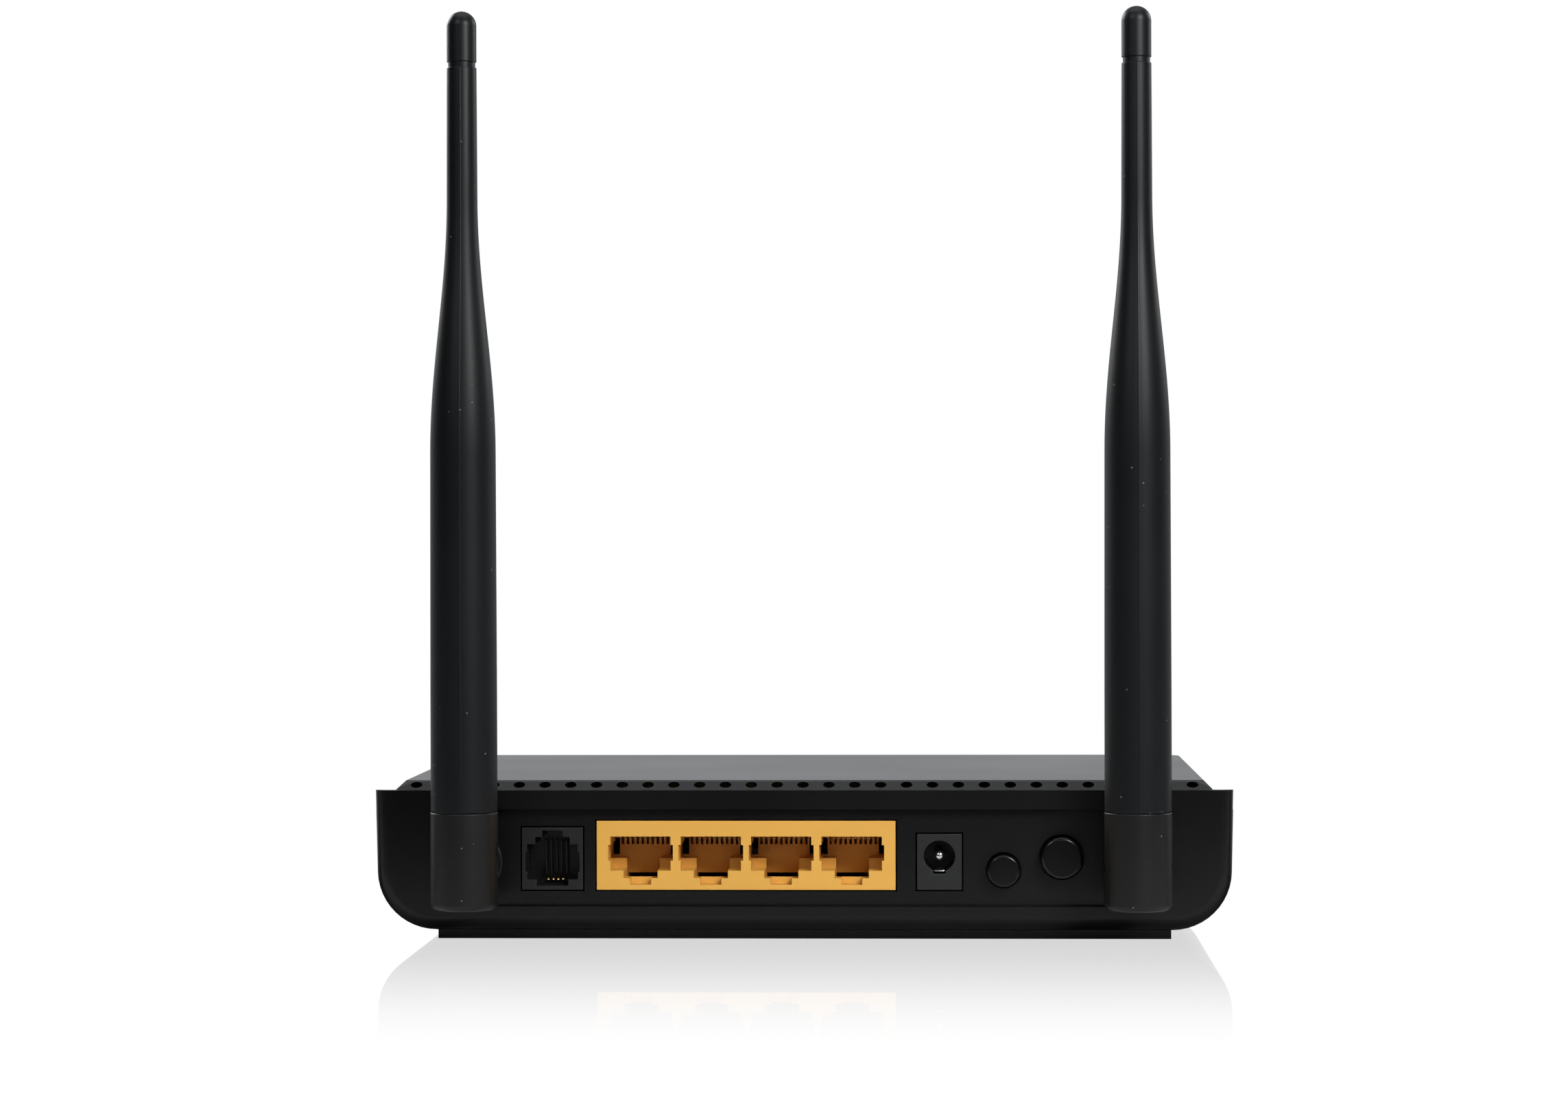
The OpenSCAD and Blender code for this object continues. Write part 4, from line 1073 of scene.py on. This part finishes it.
# %% Finishes, by material slot
finishes = {
    "housing": moulded("housing_black", (0.0030, 0.0030, 0.0031), (0.27, 0.33), 3200, 0.008, 0.006,
                       (0.12, 0.12, 0.12), specular=0.27),
    "cover": moulded("cover_black", (0.0055, 0.0056, 0.006), (0.25, 0.28), 3200, 0.006, 0.006,
                     (0.12, 0.12, 0.12)),
    "rubber": moulded("foot_rubber", (0.02, 0.02, 0.02), (0.7, 0.85), 1500, 0.05),
    "steel": moulded("zinc_steel", (0.6, 0.61, 0.63), (0.25, 0.4), 4000, 0.01, metallic=1.0),
    "label": moulded("blank_label", (0.7, 0.7, 0.68), (0.5, 0.65), 1800, 0.01, tint=0.03),
    "board": moulded("solder_mask", (0.012, 0.11, 0.04), (0.25, 0.4), 900, 0.03, tint=0.25),
    "lan_yellow": moulded("socket_yellow", (0.70, 0.375, 0.070), (0.38, 0.5), 1800, 0.01, tint=0.04,
                          specular=0.35),
    "gold_contact": moulded("gold_plating", (0.86, 0.62, 0.24), (0.16, 0.26), 3000, 0.004, metallic=1.0),
    "dark_grey": moulded("socket_grey", (0.0082, 0.0082, 0.0092), (0.36, 0.44), 2200, 0.01, 0.006,
                         (0.12, 0.12, 0.12), specular=0.4),
    "slate_grey": moulded("inlet_slate", (0.0098, 0.0102, 0.0112), (0.36, 0.44), 2200, 0.01, 0.006,
                          (0.15, 0.15, 0.15), specular=0.4),
    "nickel": moulded("nickel_plating", (0.72, 0.71, 0.69), (0.12, 0.22), 3000, 0.004, metallic=1.0),
    "switch_black": moulded("switch_black", (0.02, 0.02, 0.02), (0.45, 0.6), 1800, 0.02),
    "switch_white": moulded("switch_white", (0.68, 0.68, 0.65), (0.4, 0.5), 1800, 0.015, tint=0.04),
    "chip_black": moulded("chip_epoxy", (0.014, 0.014, 0.015), (0.5, 0.65), 2600, 0.03),
    "pad": moulded("thermal_silicone", (0.30, 0.40, 0.50), (0.6, 0.75), 700, 0.05),
    "alloy": moulded("sink_alloy", (0.58, 0.59, 0.60), (0.3, 0.45), 1600, 0.02, metallic=1.0),
    "can_blue": moulded("capacitor_sleeve", (0.02, 0.035, 0.10), (0.3, 0.4), 1200, 0.01),
    "ceramic": moulded("chip_ceramic", (0.38, 0.22, 0.11), (0.45, 0.6), 2600, 0.02, tint=0.3),
    "led": moulded("led_epoxy", (0.75, 0.8, 0.68), (0.2, 0.3), 1200, 0.005, tint=0.05),
    "light_clear": moulded("light_guide_acrylic", (0.72, 0.78, 0.82), (0.1, 0.2), 900, 0.005, tint=0.04),
    "smoke": moulded("smoked_window", (0.012, 0.012, 0.014), (0.06, 0.12), 900, 0.002),
    "button_gloss": moulded("button_black", (0.0030, 0.0030, 0.0032), (0.15, 0.20), 2200, 0.003, 0.006,
                            (0.12, 0.12, 0.12), specular=0.36),
    "antenna_satin": moulded("antenna_black", (0.0048, 0.0056, 0.0068), (0.38, 0.46), 2600, 0.012, 0.045,
                             (0.14, 0.16, 0.18), tint=0.2, specular=0.22),
    "coax_grey": moulded("coax_jacket", (0.035, 0.035, 0.038), (0.45, 0.55), 1500, 0.02),
    "brass_tube": moulded("drawn_brass", (0.66, 0.46, 0.17), (0.22, 0.35), 2500, 0.008, metallic=1.0),
}

# %% Giving every piece its finish
slots = {s["node"]: s["material_slot"] for s in frame["record"]["subparts"]}
for node, obj in frame["nodes"].items():
    finish = finishes[slots[node]]
    if not obj.material_slots:
        obj.data.materials.append(finish)
    for held in obj.material_slots:
        held.material = finish
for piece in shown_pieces():
    if piece.get("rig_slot") and piece.name not in frame["nodes"]:
        piece.data.materials.clear()
        piece.data.materials.append(finishes[piece["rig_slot"]])
# The barrels get a lighter copy of the antenna black: painted light for the brighter feet of the antennas.
painted_light_base = moulded("antenna_base_painted_light", (0.0064, 0.0065, 0.0063), (0.36, 0.46), 1500, 0.02, 0.05,
               (0.14, 0.14, 0.13), tint=0.3, specular=0.26)
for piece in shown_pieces():
    if piece.name.endswith("_barrel"):
        piece.material_slots[0].material = painted_light_base
print(len(finishes) + 1, "finishes")
